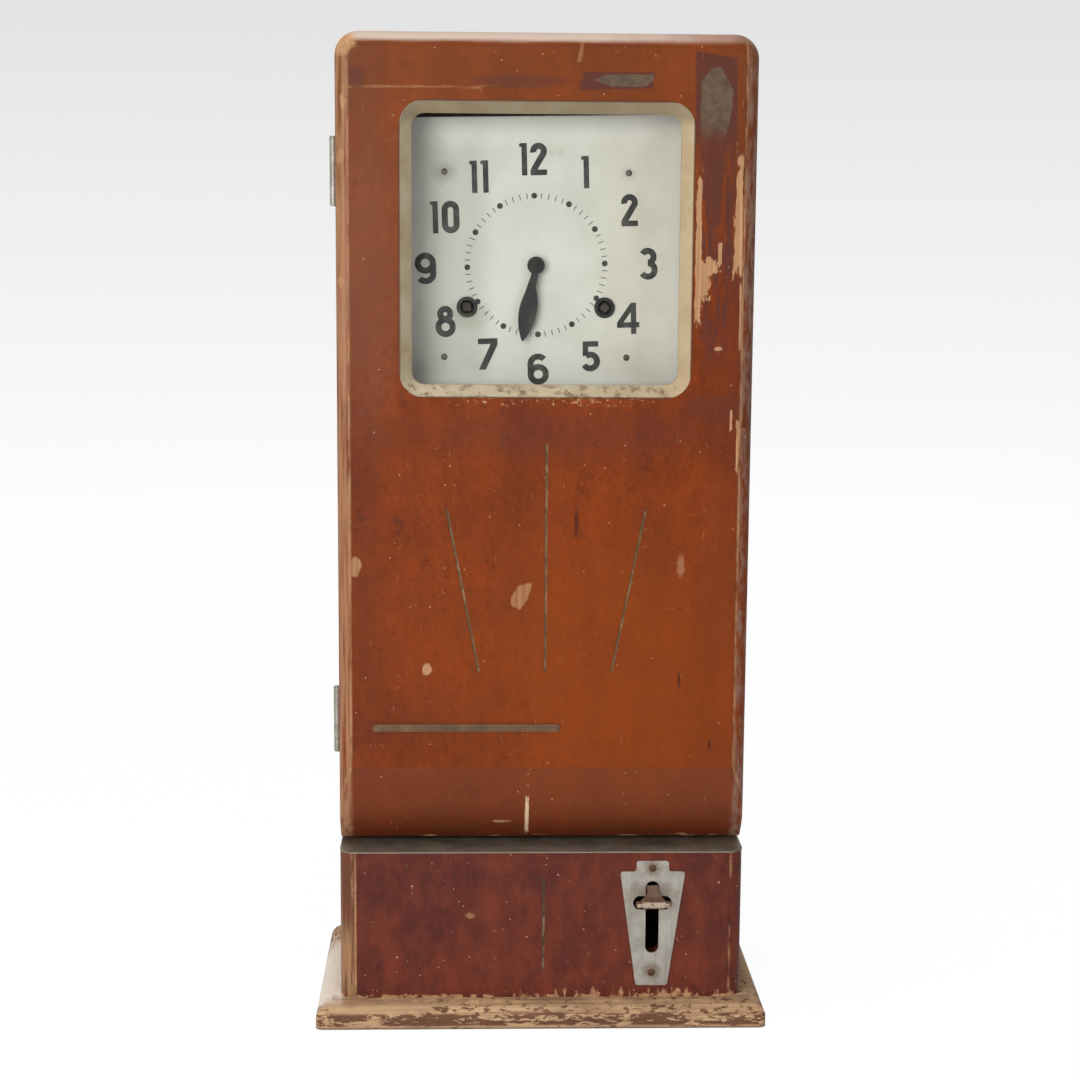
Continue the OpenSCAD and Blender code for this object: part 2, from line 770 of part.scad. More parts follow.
// Leaf-shaped minute hand with its boss, pipe and cannon pinion
module minute_outline() {
    leaf_half = (minute_l - 13) / 2;
    leaf_r = (leaf_half * leaf_half + 7.6 * 7.6) / 15.2;
    circle(7.2);
    translate([-2.9, 4]) square([5.8, 14]);
    intersection_for (sx = [-1, 1])
        translate([sx * (leaf_r - 7.6), 13 + leaf_half]) circle(leaf_r);
}
module minute_hand() {
    a1 = 90 - minute_angle;
    color("black") at_dial() difference() {
        union() {
            slab(minute_dep, minute_dep + 1.2) rotate(-minute_angle) minute_outline();
            rod(0, 0, 3.3, minute_dep + 1, front_plate - 4.5);
            slab(front_plate - 9, front_plate - 4.5) leaf_teeth(cannon_n, mod_motion, a1);
        }
        rod(0, 0, 2.5 + run, minute_dep - 1, front_plate);
    }
}
module hand_nut() {
    color("black") at_dial() difference() {
        union() {
            rod(0, 0, 4.2, minute_dep - 1.8, minute_dep);
            rod(0, 0, 2.9, minute_dep - 2.6, minute_dep - 1.7);
        }
        rod(0, 0, 2 + run, minute_dep - 4, minute_dep + 1);
    }
}

// Hour hand with its pipe and wheel
module hour_hand() {
    m1 = mesh(90 - minute_angle, cannon_n, motion_n, -90);
    a2 = mesh(m1, motion_leaf_n, hour_n, 90);
    color("black") at_dial() difference() {
        union() {
            slab(hour_dep, hour_dep + 1.2) rotate(-hour_angle) {
                circle(6.2);
                polygon([[-1.5, 4], [1.5, 4], [3, 26], [0.4, hour_l], [-0.4, hour_l], [-3, 26]]);
            }
            rod(0, 0, 5, hour_dep + 1, front_plate - 12);
            slab(front_plate - 15, front_plate - 12) wheel_teeth(hour_n, mod_motion, a2);
        }
        rod(0, 0, 3.3 + run, hour_dep - 1, front_plate);
    }
}
module motion_wheel() {
    m1 = mesh(90 - minute_angle, cannon_n, motion_n, -90);
    color("gold") at_dial() translate([0, 0, -motion_dist]) difference() {
        union() {
            slab(front_plate - 8, front_plate - 5) wheel_teeth(motion_n, mod_motion, m1);
            slab(front_plate - 16, front_plate - 7.9) leaf_teeth(motion_leaf_n, mod_motion, m1);
        }
        rod(0, 0, 2.5 + run, front_plate - 20, front_plate);
    }
}

// Going train, each wheel with its pinion and arbor between the plates
module arbor(r) { rod(0, 0, r, front_plate + 0.4, back_plate + plate_t - 0.4); }
module centre_arbor() {
    color("gold") at_dial() {
        rod(0, 0, 2.5, minute_dep + 1.3, back_plate + plate_t - 0.4);
        rod(0, 0, 2, minute_dep - 3, minute_dep + 1.5);
        slab(gear_dep + 1.5, gear_dep + 5.5) leaf_teeth(centre_leaf_n, mod_mid, 0);
        slab(gear_dep + 16, gear_dep + 18.5) wheel_teeth(centre_n, mod_train, 0);
    }
}
module third_wheel() {
    color("gold") at_dial() translate([third_x, 0, third_z]) {
        arbor(2);
        slab(gear_dep + 15, gear_dep + 20) leaf_teeth(leaf_n, mod_train, third_phase);
        slab(gear_dep + 24, gear_dep + 26.5) wheel_teeth(third_n, mod_train, third_phase);
    }
}
module escape_wheel() {
    dir = atan2(escape_z - third_z, -third_x);
    color("gold") at_dial() translate([0, 0, escape_z]) {
        arbor(2);
        slab(gear_dep + 23, gear_dep + 28)
            leaf_teeth(leaf_n, mod_train, mesh(third_phase, third_n, leaf_n, dir));
        slab(gear_dep + 32, gear_dep + 34) polygon([for (k = [0 : escape_n - 1], i = [0 : 2])
            let (r = [escape_r - 2.2, escape_r - 2, escape_r][i],
                a = 360 / escape_n * (k + [0, 0.55, 0.9][i])) [r * cos(a), r * sin(a)]]);
    }
}
module intermediate_wheel() {
    color("gold") at_dial() translate([mid_x, 0, mid_z]) {
        arbor(2.5);
        slab(gear_dep + 2, gear_dep + 5) wheel_teeth(mid_n, mod_mid, mid_phase);
        slab(gear_dep + 6.5, gear_dep + 11.8) leaf_teeth(leaf_n, mod_great, mid_phase);
    }
}

// Spring barrel with its great wheel; phase sets the teeth
module barrel(phase) {
    difference() {
        union() {
            slab(gear_dep + 7, gear_dep + 11) wheel_teeth(great_n, mod_great, phase);
            rod(0, 0, 34, gear_dep + 10.5, gear_dep + 40);
        }
        rod(0, 0, 32, gear_dep + 12.5, gear_dep + 38);
        rod(0, 0, 5 + run, gear_dep, gear_dep + 50);
    }
}
// Winding arbor with a square front end and a ratchet behind the back plate
module winding_arbor(turn) {
    rod(0, 0, 5, front_plate - 14, back_plate + plate_t + 3.6);
    translate([0, dep(front_plate - 13.8), 0]) rotate([90, 0, 0]) rotate(turn)
        linear_extrude(12) square(6.4, center = true);
    slab(back_plate + plate_t + 0.6, back_plate + plate_t + 3.6)
        polygon([for (k = [0 : ratchet_n - 1], i = [0, 1])
            let (r = i == 0 ? 10.4 : 12, a = 360 / ratchet_n * (k + i * 0.85))
                [r * cos(a), r * sin(a)]]);
}
module at_going() { at_dial() translate([wind_x, 0, wind_z]) children(); }
module at_printing() { at_dial() translate([-wind_x, 0, wind_z]) children(); }
module going_barrel() { color("gold") at_going() barrel(great_phase); }
module going_winding_arbor() { color("silver") at_going() winding_arbor(45); }
module printing_barrel() { color("gold") at_printing() barrel(180 - great_phase); }
module printing_winding_arbor() { color("silver") at_printing() winding_arbor(5); }
module lifting_wheel() {
    color("gold") at_dial() translate([-mid_x, 0, mid_z]) {
        arbor(2.5);
        slab(gear_dep + 2, gear_dep + 4) circle(19);
        for (a = [20 : 90 : 290]) rod(15 * cos(a), 15 * sin(a), 1.5, gear_dep + 4, gear_dep + 6);
        slab(gear_dep + 6.5, gear_dep + 11.8) leaf_teeth(leaf_n, mod_great, 180 - mid_phase);
    }
}

// Anchor on its arbor over the escape wheel, with the crutch behind the back plate
module anchor() {
    d0 = back_plate + plate_t;
    color("silver") at_dial() translate([0, 0, anchor_z]) {
        rod(0, 0, 2, front_plate + 0.4, d0 + 6);
        slab(gear_dep + 32, gear_dep + 34) {
            circle(5);
            for (sx = [0, 1]) mirror([sx, 0])
                polygon([[0, 4], [5, 3], [18.6, -10.5], [16.6, -16], [14.6, -15.2], [15.6, -11], [0, -3]]);
        }
        slab(d0 + 2, d0 + 4.5) {
            circle(5);
            translate([-2, -70]) square([4, 70]);
            translate([-6, -72]) square([12, 5]);
        }
        for (sx = [-1, 1]) rod(sx * 4.4, -69.5, 1.4, d0 + 4, d0 + 24);
    }
}

// Pendulum rod with its eye and rating nut, and the lens-shaped bob on it
module at_pendulum() { at_dial() translate([0, 0, anchor_z]) children(); }
module pendulum_rod() {
    color("goldenrod") at_pendulum() difference() {
        union() {
            slab(pendulum_dep - 2, pendulum_dep + 2) {
                circle(7.5);
                translate([-2.5, -pendulum_l - bob_r - 14])
                    square([5, pendulum_l + bob_r + 10]);
            }
            translate([0, dep(pendulum_dep), -pendulum_l - bob_r - 6]) cylinder(h = 6, r = 8);
        }
        rod(0, 0, 3 + run, pendulum_dep - 20, pendulum_dep + 20);
    }
}
module pendulum_bob() {
    color("goldenrod") at_pendulum() difference() {
        translate([0, dep(pendulum_dep), -pendulum_l]) rotate([90, 0, 0]) rotate_extrude()
            polygon([[0, -10], [bob_r * 0.7, -8], [bob_r, -4], [bob_r, 4], [bob_r * 0.7, 8],
                [0, 10]]);
        slab(pendulum_dep - 2.1, pendulum_dep + 2.1)
            translate([-2.6, -pendulum_l - 60]) square([5.2, 120]);
    }
}

// Printer frame: upright plate with two cheeks, spool studs, ribbon pins and posts
module printer_bridge() {
    color("gray") {
        slab(bridge_dep, bridge_dep + bridge_t) translate([0, table_z + 57])
            rounded(226, 106, 8);
        for (sx = [-1, 1]) {
            block([sx * 34 - 1.5, type_dep - 12, type_z - 12],
                [sx * 34 + 1.5, bridge_dep + 1, type_z + 18]);
            rod(sx * spool_x, spool_z, 3, type_dep - 9, bridge_dep + 1);
            rod(sx * spool_x, spool_z, 5, type_dep - 10.5, type_dep - 8.8);
            rod(sx * spool_x, spool_z, 6, type_dep + 8.8, bridge_dep + 1);
            rod(sx * guide_x, ribbon_z + guide_r + 0.2, guide_r, type_dep - 8, bridge_dep + 1);
            for (z = [26, 94]) rod(sx * 104, table_z + z, 5, bridge_dep + 1, back_in);
        }
        bar(type_dep, type_z, 4, -37, 37);
    }
}

// A type wheel along X with raised faces round its rim
module type_wheel(x0, x1, count) {
    difference() {
        union() {
            bar(type_dep, type_z, type_r - 1.5, x0, x1);
            for (k = [0 : count - 1]) translate([x0 + 1, dep(type_dep), type_z])
                rotate([360 / count * (k + 0.5), 0, 0]) translate([0, type_r - 2.5, -0.7])
                    cube([x1 - x0 - 2, 2.4, 1.4]);
            children();
        }
        bar(type_dep, type_z, 4 + run, x0 - 20, x1 + 20);
    }
}
module minute_type_wheel() {
    color("dimgray") type_wheel(0.3, 13, 30) {
        translate([12.5, dep(type_dep), type_z]) rotate([90, 0, 90]) linear_extrude(5)
            polygon([for (k = [0 : 59], i = [0, 1]) let (r = i == 0 ? 12.6 : 14,
                a = 6 * (k + i * 0.85)) [r * cos(a), r * sin(a)]]);
        bar(type_dep, type_z, 7, 17, 32);
    }
}
module hour_type_wheel() {
    color("dimgray") type_wheel(-13, -0.3, 24) bar(type_dep, type_z, 7, -32, -12);
}

// Ribbon spools and the ribbon that passes under the type
module spool(x) {
    color("black") difference() {
        union() {
            rod(x, spool_z, spool_r, type_dep - 8.3, type_dep - 7);
            rod(x, spool_z, pack_r, type_dep - 7.2, type_dep + 7.2);
            rod(x, spool_z, spool_r, type_dep + 7, type_dep + 8.3);
        }
        rod(x, spool_z, 3 + run, type_dep - 20, type_dep + 30);
        for (a = [0 : 120 : 240])
            rod(x + 17 * cos(a), spool_z + 17 * sin(a), 3, type_dep - 20, type_dep + 30);
    }
}
module left_spool() { spool(-spool_x); }
module right_spool() { spool(spool_x); }
module ink_ribbon() {
    spool = [-spool_x, spool_z];
    pin = [-guide_x, ribbon_z + guide_r + 0.2];
    dir = (pin - spool) / norm(pin - spool);
    side = [dir[1], -dir[0]];
    color("indigo") slab(type_dep - 6, type_dep + 6) {
        translate([-guide_x, ribbon_z - 0.2]) square([2 * guide_x, 0.4]);
        for (sx = [0, 1]) mirror([sx, 0]) {
            polygon([spool + side * (pack_r + 0.4), spool + side * (pack_r + 0.8),
                pin + side * (guide_r + 0.4), pin + side * guide_r]);
            intersection() {
                difference() {
                    translate(pin) circle(guide_r + 0.4);
                    translate(pin) circle(guide_r);
                }
                polygon([pin, pin + side * 9, pin + side * 9 - [0, 9], pin - [0, 9]]);
            }
        }
    }
}

// Casting on the base that carries the rock shaft and guides the hammer
module hammer_stand() {
    color("dimgray") difference() {
        union() {
            block([cheek_x[0] - 15, shaft_dep - 19, base_t],
                [cheek_x[1] + 16, type_dep + 21, base_t + 6]);
            for (x = cheek_x) {
                block([x, shaft_dep - 11, base_t], [x + cheek_t, shaft_dep + 11, shaft_z]);
                bar(shaft_dep, shaft_z, 11, x, x + cheek_t);
            }
            block([-9, type_dep + 8, base_t], [9, type_dep + 15, table_z - 24]);
            block([-12, type_dep - 9, table_z - 34], [12, type_dep + 15, table_z - 24]);
        }
        bar(shaft_dep, shaft_z, shaft_r + run, -70, 90);
        block([-stem_w / 2 - fit, type_dep - stem_d / 2 - fit, table_z - 40],
            [stem_w / 2 + fit, type_dep + stem_d / 2 + fit, table_z]);
    }
}

// Rock shaft with the arm that lifts the hammer and a counterweight that lifts the lever
module back_arm(x0, x1, len, r) {
    translate([0, dep(shaft_dep), shaft_z]) rotate([-lever_half, 0, 0]) {
        translate([x0, 0, -r]) cube([x1 - x0, len, 2 * r]);
        translate([x0, len, 0]) rotate([0, 90, 0]) cylinder(h = x1 - x0, r = r);
    }
}
module rock_shaft() {
    color("gray") {
        bar(shaft_dep, shaft_z, shaft_r, -52, lever_x + 12);
        bar(shaft_dep, shaft_z, 7.5, -6, 6);
        back_arm(-5, 5, hammer_arm, hammer_tip);
        bar(shaft_dep, shaft_z, 7.5, 24, 36);
        back_arm(25, 35, 34, 4);
        translate([0, dep(shaft_dep), shaft_z]) rotate([-lever_half, 0, 0])
            translate([16, 34, 0]) rotate([0, 90, 0]) cylinder(h = 36, r = 12);
    }
}

// Flat lever from the rock shaft out through the slot, bent down to a lens-shaped thumb piece
module print_lever() {
    rise = tan(lever_half);
    tip = 1 - overhang;
    pad_back = tip + pad_d;
    top_z = shaft_z + (shaft_dep + 3) * rise;
    pad_z = top_z - 8;
    bead = 3.2;
    nose_z = pad_z - 0.4 - bead;
    color("saddlebrown") difference() {
        union() {
            intersection() {
                translate([lever_x - pad_w, front_y, 0]) rotate([90, 0, 90]) linear_extrude(2 * pad_w) {
                    polygon([[shaft_dep, shaft_z - lever_t / 2], [shaft_dep, shaft_z + lever_t / 2],
                        [-3, top_z + lever_t / 2], [pad_back - 0.5, pad_z + lever_t / 2],
                        [tip + bead, nose_z + bead], [tip + bead, nose_z - bead],
                        [pad_back, pad_z - lever_t / 2], [-3.5, top_z - lever_t / 2]]);
                    translate([tip + bead, nose_z]) circle(bead);
                }
                translate([lever_x, front_y, 0]) linear_extrude(table_z) lever_plan(tip, pad_back);
                translate([lever_x, dep(shaft_dep), 0]) rotate([90, 0, 0])
                    linear_extrude(shaft_dep - tip + 1) lever_front(nose_z);
            }
            bar(shaft_dep, shaft_z, 9, lever_x - 7, lever_x + 7);
        }
        bar(shaft_dep, shaft_z, shaft_r, lever_x - 9, lever_x + 20);
    }
}
module lever_plan(tip, pad_back) {
    half = lever_neck / 2;
    translate([-half, pad_back - 1]) square([lever_neck, shaft_dep - pad_back + 1]);
    translate([0, tip + pad_d / 2]) rounded(pad_w, pad_d, pad_d / 2 - 0.3);
    polygon([[-half - 3, pad_back - 1], [half + 3, pad_back - 1], [half, pad_back + 2],
        [-half, pad_back + 2]]);
}
// Front view of the lever: neck, sloping shoulders and a thumb piece between two arcs
module lever_front(nose_z) {
    half = lever_neck / 2;
    bow = 26;
    thick = 3.6;
    translate([0, nose_z]) {
        intersection() {
            translate([0, bow - thick]) circle(bow);
            translate([0, thick - bow]) circle(bow);
        }
        rounded(pad_w, 3.2, 1.5);
        polygon([[-half - 6, 1.5], [half + 6, 1.5], [half, 7.5], [-half, 7.5]]);
    }
    translate([-half, shaft_z - 10]) square([lever_neck, nose_z - shaft_z + 35]);
}

// Round-nosed hammer under the card table that presses card and ribbon against the type
module hammer() {
    nose_z = shaft_z - hammer_arm * sin(lever_half) + hammer_tip + 0.8 + stem_d / 2;
    top = ribbon_z - 0.8 - hammer_lift;
    color("gray") {
        bar(type_dep, nose_z, stem_d / 2, -stem_w / 2, stem_w / 2);
        block([-stem_w / 2, type_dep - stem_d / 2, nose_z],
            [stem_w / 2, type_dep + stem_d / 2, top - 4]);
        block([-20, type_dep - 9, top - 8], [20, type_dep + 9, top]);
    }
}

base_board();
left_side();
right_side();
top_board();
back_board();
lower_front_panel();
card_table();
table_cleats();
lever_escutcheon();
escutcheon_screws();
case_hinge_leaves();
case_hinge_screws();
door_catch();
door_panel();
door_chin_rail();
door_stiles();
door_top_rail();
window_bezel();
glass_pane();
glass_beads();
trim_bar();
door_hinge_leaves();
door_hinge_screws();
hinge_pins();
catch_tongue();
movement_posts();
movement_back_plate();
movement_front_plate();
movement_pillars();
dial_plate();
dial_screws();
winding_grommets();
ratchet_clicks();
pendulum_cock();
minute_hand();
hand_nut();
hour_hand();
motion_wheel();
centre_arbor();
third_wheel();
escape_wheel();
intermediate_wheel();
going_barrel();
going_winding_arbor();
printing_barrel();
printing_winding_arbor();
lifting_wheel();
anchor();
pendulum_rod();
pendulum_bob();
printer_bridge();
minute_type_wheel();
hour_type_wheel();
left_spool();
right_spool();
ink_ribbon();
hammer_stand();
rock_shaft();
print_lever();
hammer();
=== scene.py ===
# %% [markdown]
# # A wooden time clock, dressed for its photograph
# The solids of this clock come from a CAD model that already has the right sizes, the wheels
# and the joints. Blender's part in it is the look: old stained wood, worn steel, cream paint, a
# printed dial. Everything is in metres and in the frame of the CAD model: X runs right, Y runs
# back and Z runs up from under the middle of the base.

# %% The frame
import math

import bpy
from mathutils import Matrix, Vector
from mathutils.geometry import delaunay_2d_cdt


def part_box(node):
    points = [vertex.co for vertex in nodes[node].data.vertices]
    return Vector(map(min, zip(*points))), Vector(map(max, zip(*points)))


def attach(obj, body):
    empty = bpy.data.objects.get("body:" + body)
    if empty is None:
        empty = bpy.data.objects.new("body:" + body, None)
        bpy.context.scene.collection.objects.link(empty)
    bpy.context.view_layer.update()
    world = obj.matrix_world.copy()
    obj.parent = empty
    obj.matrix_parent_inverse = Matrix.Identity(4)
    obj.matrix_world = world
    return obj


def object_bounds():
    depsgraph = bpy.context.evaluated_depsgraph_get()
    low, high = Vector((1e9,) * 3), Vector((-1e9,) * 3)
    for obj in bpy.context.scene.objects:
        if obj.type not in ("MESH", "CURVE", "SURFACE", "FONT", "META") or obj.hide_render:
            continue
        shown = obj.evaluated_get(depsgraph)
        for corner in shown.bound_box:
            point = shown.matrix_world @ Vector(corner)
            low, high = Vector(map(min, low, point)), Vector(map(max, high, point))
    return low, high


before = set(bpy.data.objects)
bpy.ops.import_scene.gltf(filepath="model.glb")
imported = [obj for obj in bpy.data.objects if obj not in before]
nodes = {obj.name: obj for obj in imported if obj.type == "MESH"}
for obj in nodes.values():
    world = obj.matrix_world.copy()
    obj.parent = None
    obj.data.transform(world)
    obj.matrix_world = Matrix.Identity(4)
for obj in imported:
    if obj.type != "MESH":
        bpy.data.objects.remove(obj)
cad_low, cad_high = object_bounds()
scene = bpy.context.scene
MM = 0.001
FACE_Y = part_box("lower_front_panel")[0].y / MM
TOP_Z = cad_high.z / MM
print(len(nodes), "solids, from", tuple(round(v, 3) for v in cad_low),
      "to", tuple(round(v, 3) for v in cad_high))

# %% [markdown]
# ## The camera
# The lines of the case lean together slightly, so the picture was taken from nearby and from
# above the middle. Matching the corners of the case to their places in the picture gives a long
# lens about 1.75 m in front of the door, looking down by nearly nine degrees.

# %% The camera
EYE = (-0.0625, -1.8390, 0.6917)
YAW, PITCH, ROLL = (math.radians(angle) for angle in (1.925, 8.68, 0.41))
lens = bpy.data.cameras.new("camera")
lens.lens, lens.sensor_width = 70, 36
camera = bpy.data.objects.new("camera", lens)
camera.location = EYE
turn = Matrix.Rotation(-YAW, 3, "Z") @ Matrix.Rotation(math.pi / 2 - PITCH, 3, "X")
camera.rotation_euler = (turn @ Matrix.Rotation(ROLL, 3, "Z")).to_euler()
scene.collection.objects.link(camera)
scene.camera = camera
scene.view_settings.view_transform = "Standard"
print("camera at", tuple(camera.location))

# %% [markdown]
# ## A small kit for node trees
# The world, the floor, every finish and the minute ring are node trees. A short helper keeps them
# readable: each call adds a node, and its arguments are sockets of other nodes or plain values.


# %% Helper for node trees
class Tree:
    """A node tree that is built by calls."""

    def __init__(self, tree):
        self.tree = tree

    def feed(self, socket, value):
        if isinstance(value, bpy.types.NodeSocket):
            self.tree.links.new(value, socket)
        else:
            socket.default_value = value

    def add(self, kind, **values):
        """A node with these inputs: a short kind is a shader node, an underscore is a space."""
        n = self.tree.nodes.new(kind if "Node" in kind else "ShaderNode" + kind)
        for label, value in values.items():
            self.feed(n.inputs[label.replace("_", " ")], value)
        return n

    def math(self, op, a, b=0.0, c=None, clamp=False):
        n = self.add("Math")
        n.operation, n.use_clamp = op, clamp
        self.feed(n.inputs[0], a)
        self.feed(n.inputs[1], b)
        if c is not None:
            self.feed(n.inputs[2], c)
        return n.outputs[0]

    def fold(self, op, values):
        total = values[0]
        for value in values[1:]:
            total = self.math(op, total, value)
        return total

    def times(self, *values):
        return self.fold("MULTIPLY", values)

    def most(self, *values):
        return self.fold("MAXIMUM", values)

    def blend(self, share, under, over, output):
        """Two shaders mixed by a share, as the surface of an output node."""
        n = self.add("MixShader")
        for socket, value in zip(n.inputs, (share, under.outputs[0], over.outputs[0])):
            self.feed(socket, value)
        self.feed(self.add(output).inputs["Surface"], n.outputs[0])


print("kit for node trees ready")

# %% [markdown]
# ## Floor, light and background
# A product picture like this is taken on a white sweep under large soft lamps. The main lamp
# stands on the left and above, which shades the left of the sunk dial. The pale backdrop is what
# the camera sees, also through the glass and in part of the reflections. All other rays meet a
# dim grey world, so the colours of the wood stay as they are written.

# %% Lamps, world and floor
LIT_POINT = Vector((0, 0, 0.5))
# The backdrop's greys, by place on a band that runs from below the horizon to above it.
BAND = 0.3
BACKDROP = ((0.50, 0.868), (0.53, 0.846), (0.68, 0.755))
# Reflections see the backdrop in full behind the clock, and this much of the room in front of it.
ROOM_SHARE, ROOM_FROM, ROOM_TO = 0.22, -0.75, 0.1
# The floor glows more around the clock than far off, where it runs into the backdrop.
FAR_FLOOR, NEAR_FLOOR, FLOOR_FADE, FLOOR_GLOW = 0.912, 1.03, 0.627, 0.93
FLOOR_HALF, FLOOR_DROP = 40, 0.0005


def lamp(name, place, size, watts, colour=(1, 1, 1)):
    """A round soft lamp that points at the middle of the clock."""
    data = bpy.data.lights.new(name, "AREA")
    data.shape, data.size, data.energy, data.color = "DISK", size, watts, colour
    thing = bpy.data.objects.new(name, data)
    thing.location = place
    thing.rotation_euler = (LIT_POINT - Vector(place)).to_track_quat("-Z", "Y").to_euler()
    scene.collection.objects.link(thing)


lamp("main_lamp", (-1.25, -2.45, 1.05), 1.8, 48, (1, 0.985, 0.96))
lamp("side_lamp", (1.6, -2.0, 1.1), 1.4, 6, (0.97, 0.985, 1))
lamp("top_lamp", (-0.3, -0.4, 2.6), 1.4, 22)

world = bpy.data.worlds.new("studio")
scene.world = world
world.use_nodes = True
world.node_tree.nodes.clear()
w = Tree(world.node_tree)
_, back, up = w.add("SeparateXYZ", Vector=w.add("TexCoord").outputs["Generated"]).outputs
fade = w.add("ValToRGB")
w.feed(fade.inputs[0], w.add("MapRange", Value=up, From_Min=-BAND, From_Max=BAND).outputs[0])
fade.color_ramp.elements.new(BACKDROP[1][0])
for stop, (place, grey) in zip(fade.color_ramp.elements, BACKDROP):
    stop.position, stop.color = place, (grey, grey, grey, 1)
room = w.add("MapRange", Value=back, From_Min=ROOM_FROM, From_Max=ROOM_TO, To_Min=ROOM_SHARE)
rays = w.add("LightPath").outputs
mirrored = w.times(rays["Is Glossy Ray"], room.outputs[0])
w.blend(
    w.most(rays["Is Camera Ray"], mirrored, rays["Is Transmission Ray"]),
    w.add("Background", Color=(0.94, 0.97, 1, 1), Strength=0.28),
    w.add("Background", Color=fade.outputs["Color"], Strength=1),
    "OutputWorld",
)

floor_mesh = bpy.data.meshes.new("floor")
corners = [(x * FLOOR_HALF, y * FLOOR_HALF, 0) for x, y in ((-1, -1), (1, -1), (1, 1), (-1, 1))]
floor_mesh.from_pydata(corners, [], [(0, 1, 2, 3)])
floor = bpy.data.objects.new("floor", floor_mesh)
floor.location.z = -FLOOR_DROP
scene.collection.objects.link(floor)
paper = bpy.data.materials.new("white_floor")
paper.use_nodes = True
paper.node_tree.nodes.clear()
p = Tree(paper.node_tree)
radius = p.add("VectorMath")
radius.operation = "LENGTH"
p.feed(radius.inputs[0], p.add("TexCoord").outputs["Object"])
away = p.math("ADD", radius.outputs["Value"], -camera.location.y)
nearness = p.math("ADD", p.math("DIVIDE", FLOOR_FADE, away), FAR_FLOOR)
rays = p.add("LightPath").outputs
p.blend(
    p.times(p.most(rays["Is Camera Ray"], rays["Is Transmission Ray"]), FLOOR_GLOW),
    p.add("BsdfDiffuse", Color=(0.93, 0.93, 0.93, 1)),
    p.add("Emission", Color=(1, 1, 1, 1), Strength=p.math("MINIMUM", nearness, NEAR_FLOOR)),
    "OutputMaterial",
)
floor_mesh.materials.append(paper)
print("stage: one floor, three lamps")

# %% [markdown]
# ## A small kit for finishes
# Every finish works in millimetres on Object coordinates, so a stain can be put at a place on the
# clock, and the size of a noise is the size of its blotches. Masks are noises, spots and patches,
# and colours are laid over each other through them. Nothing is an image.


# %% Helper for finishes
def srgb(*channels):
    """A colour from its 0 to 255 channels, in the linear values that Blender works with."""
    linear = (((c / 255 + 0.055) / 1.055) ** 2.4 if c > 10 else c / 255 / 12.92 for c in channels)
    return (*linear, 1.0)


def toned(colour, share):
    """A colour made darker, or with a share over 1 lighter."""
    return tuple(min(1, c * share) for c in colour[:3]) + (1,)


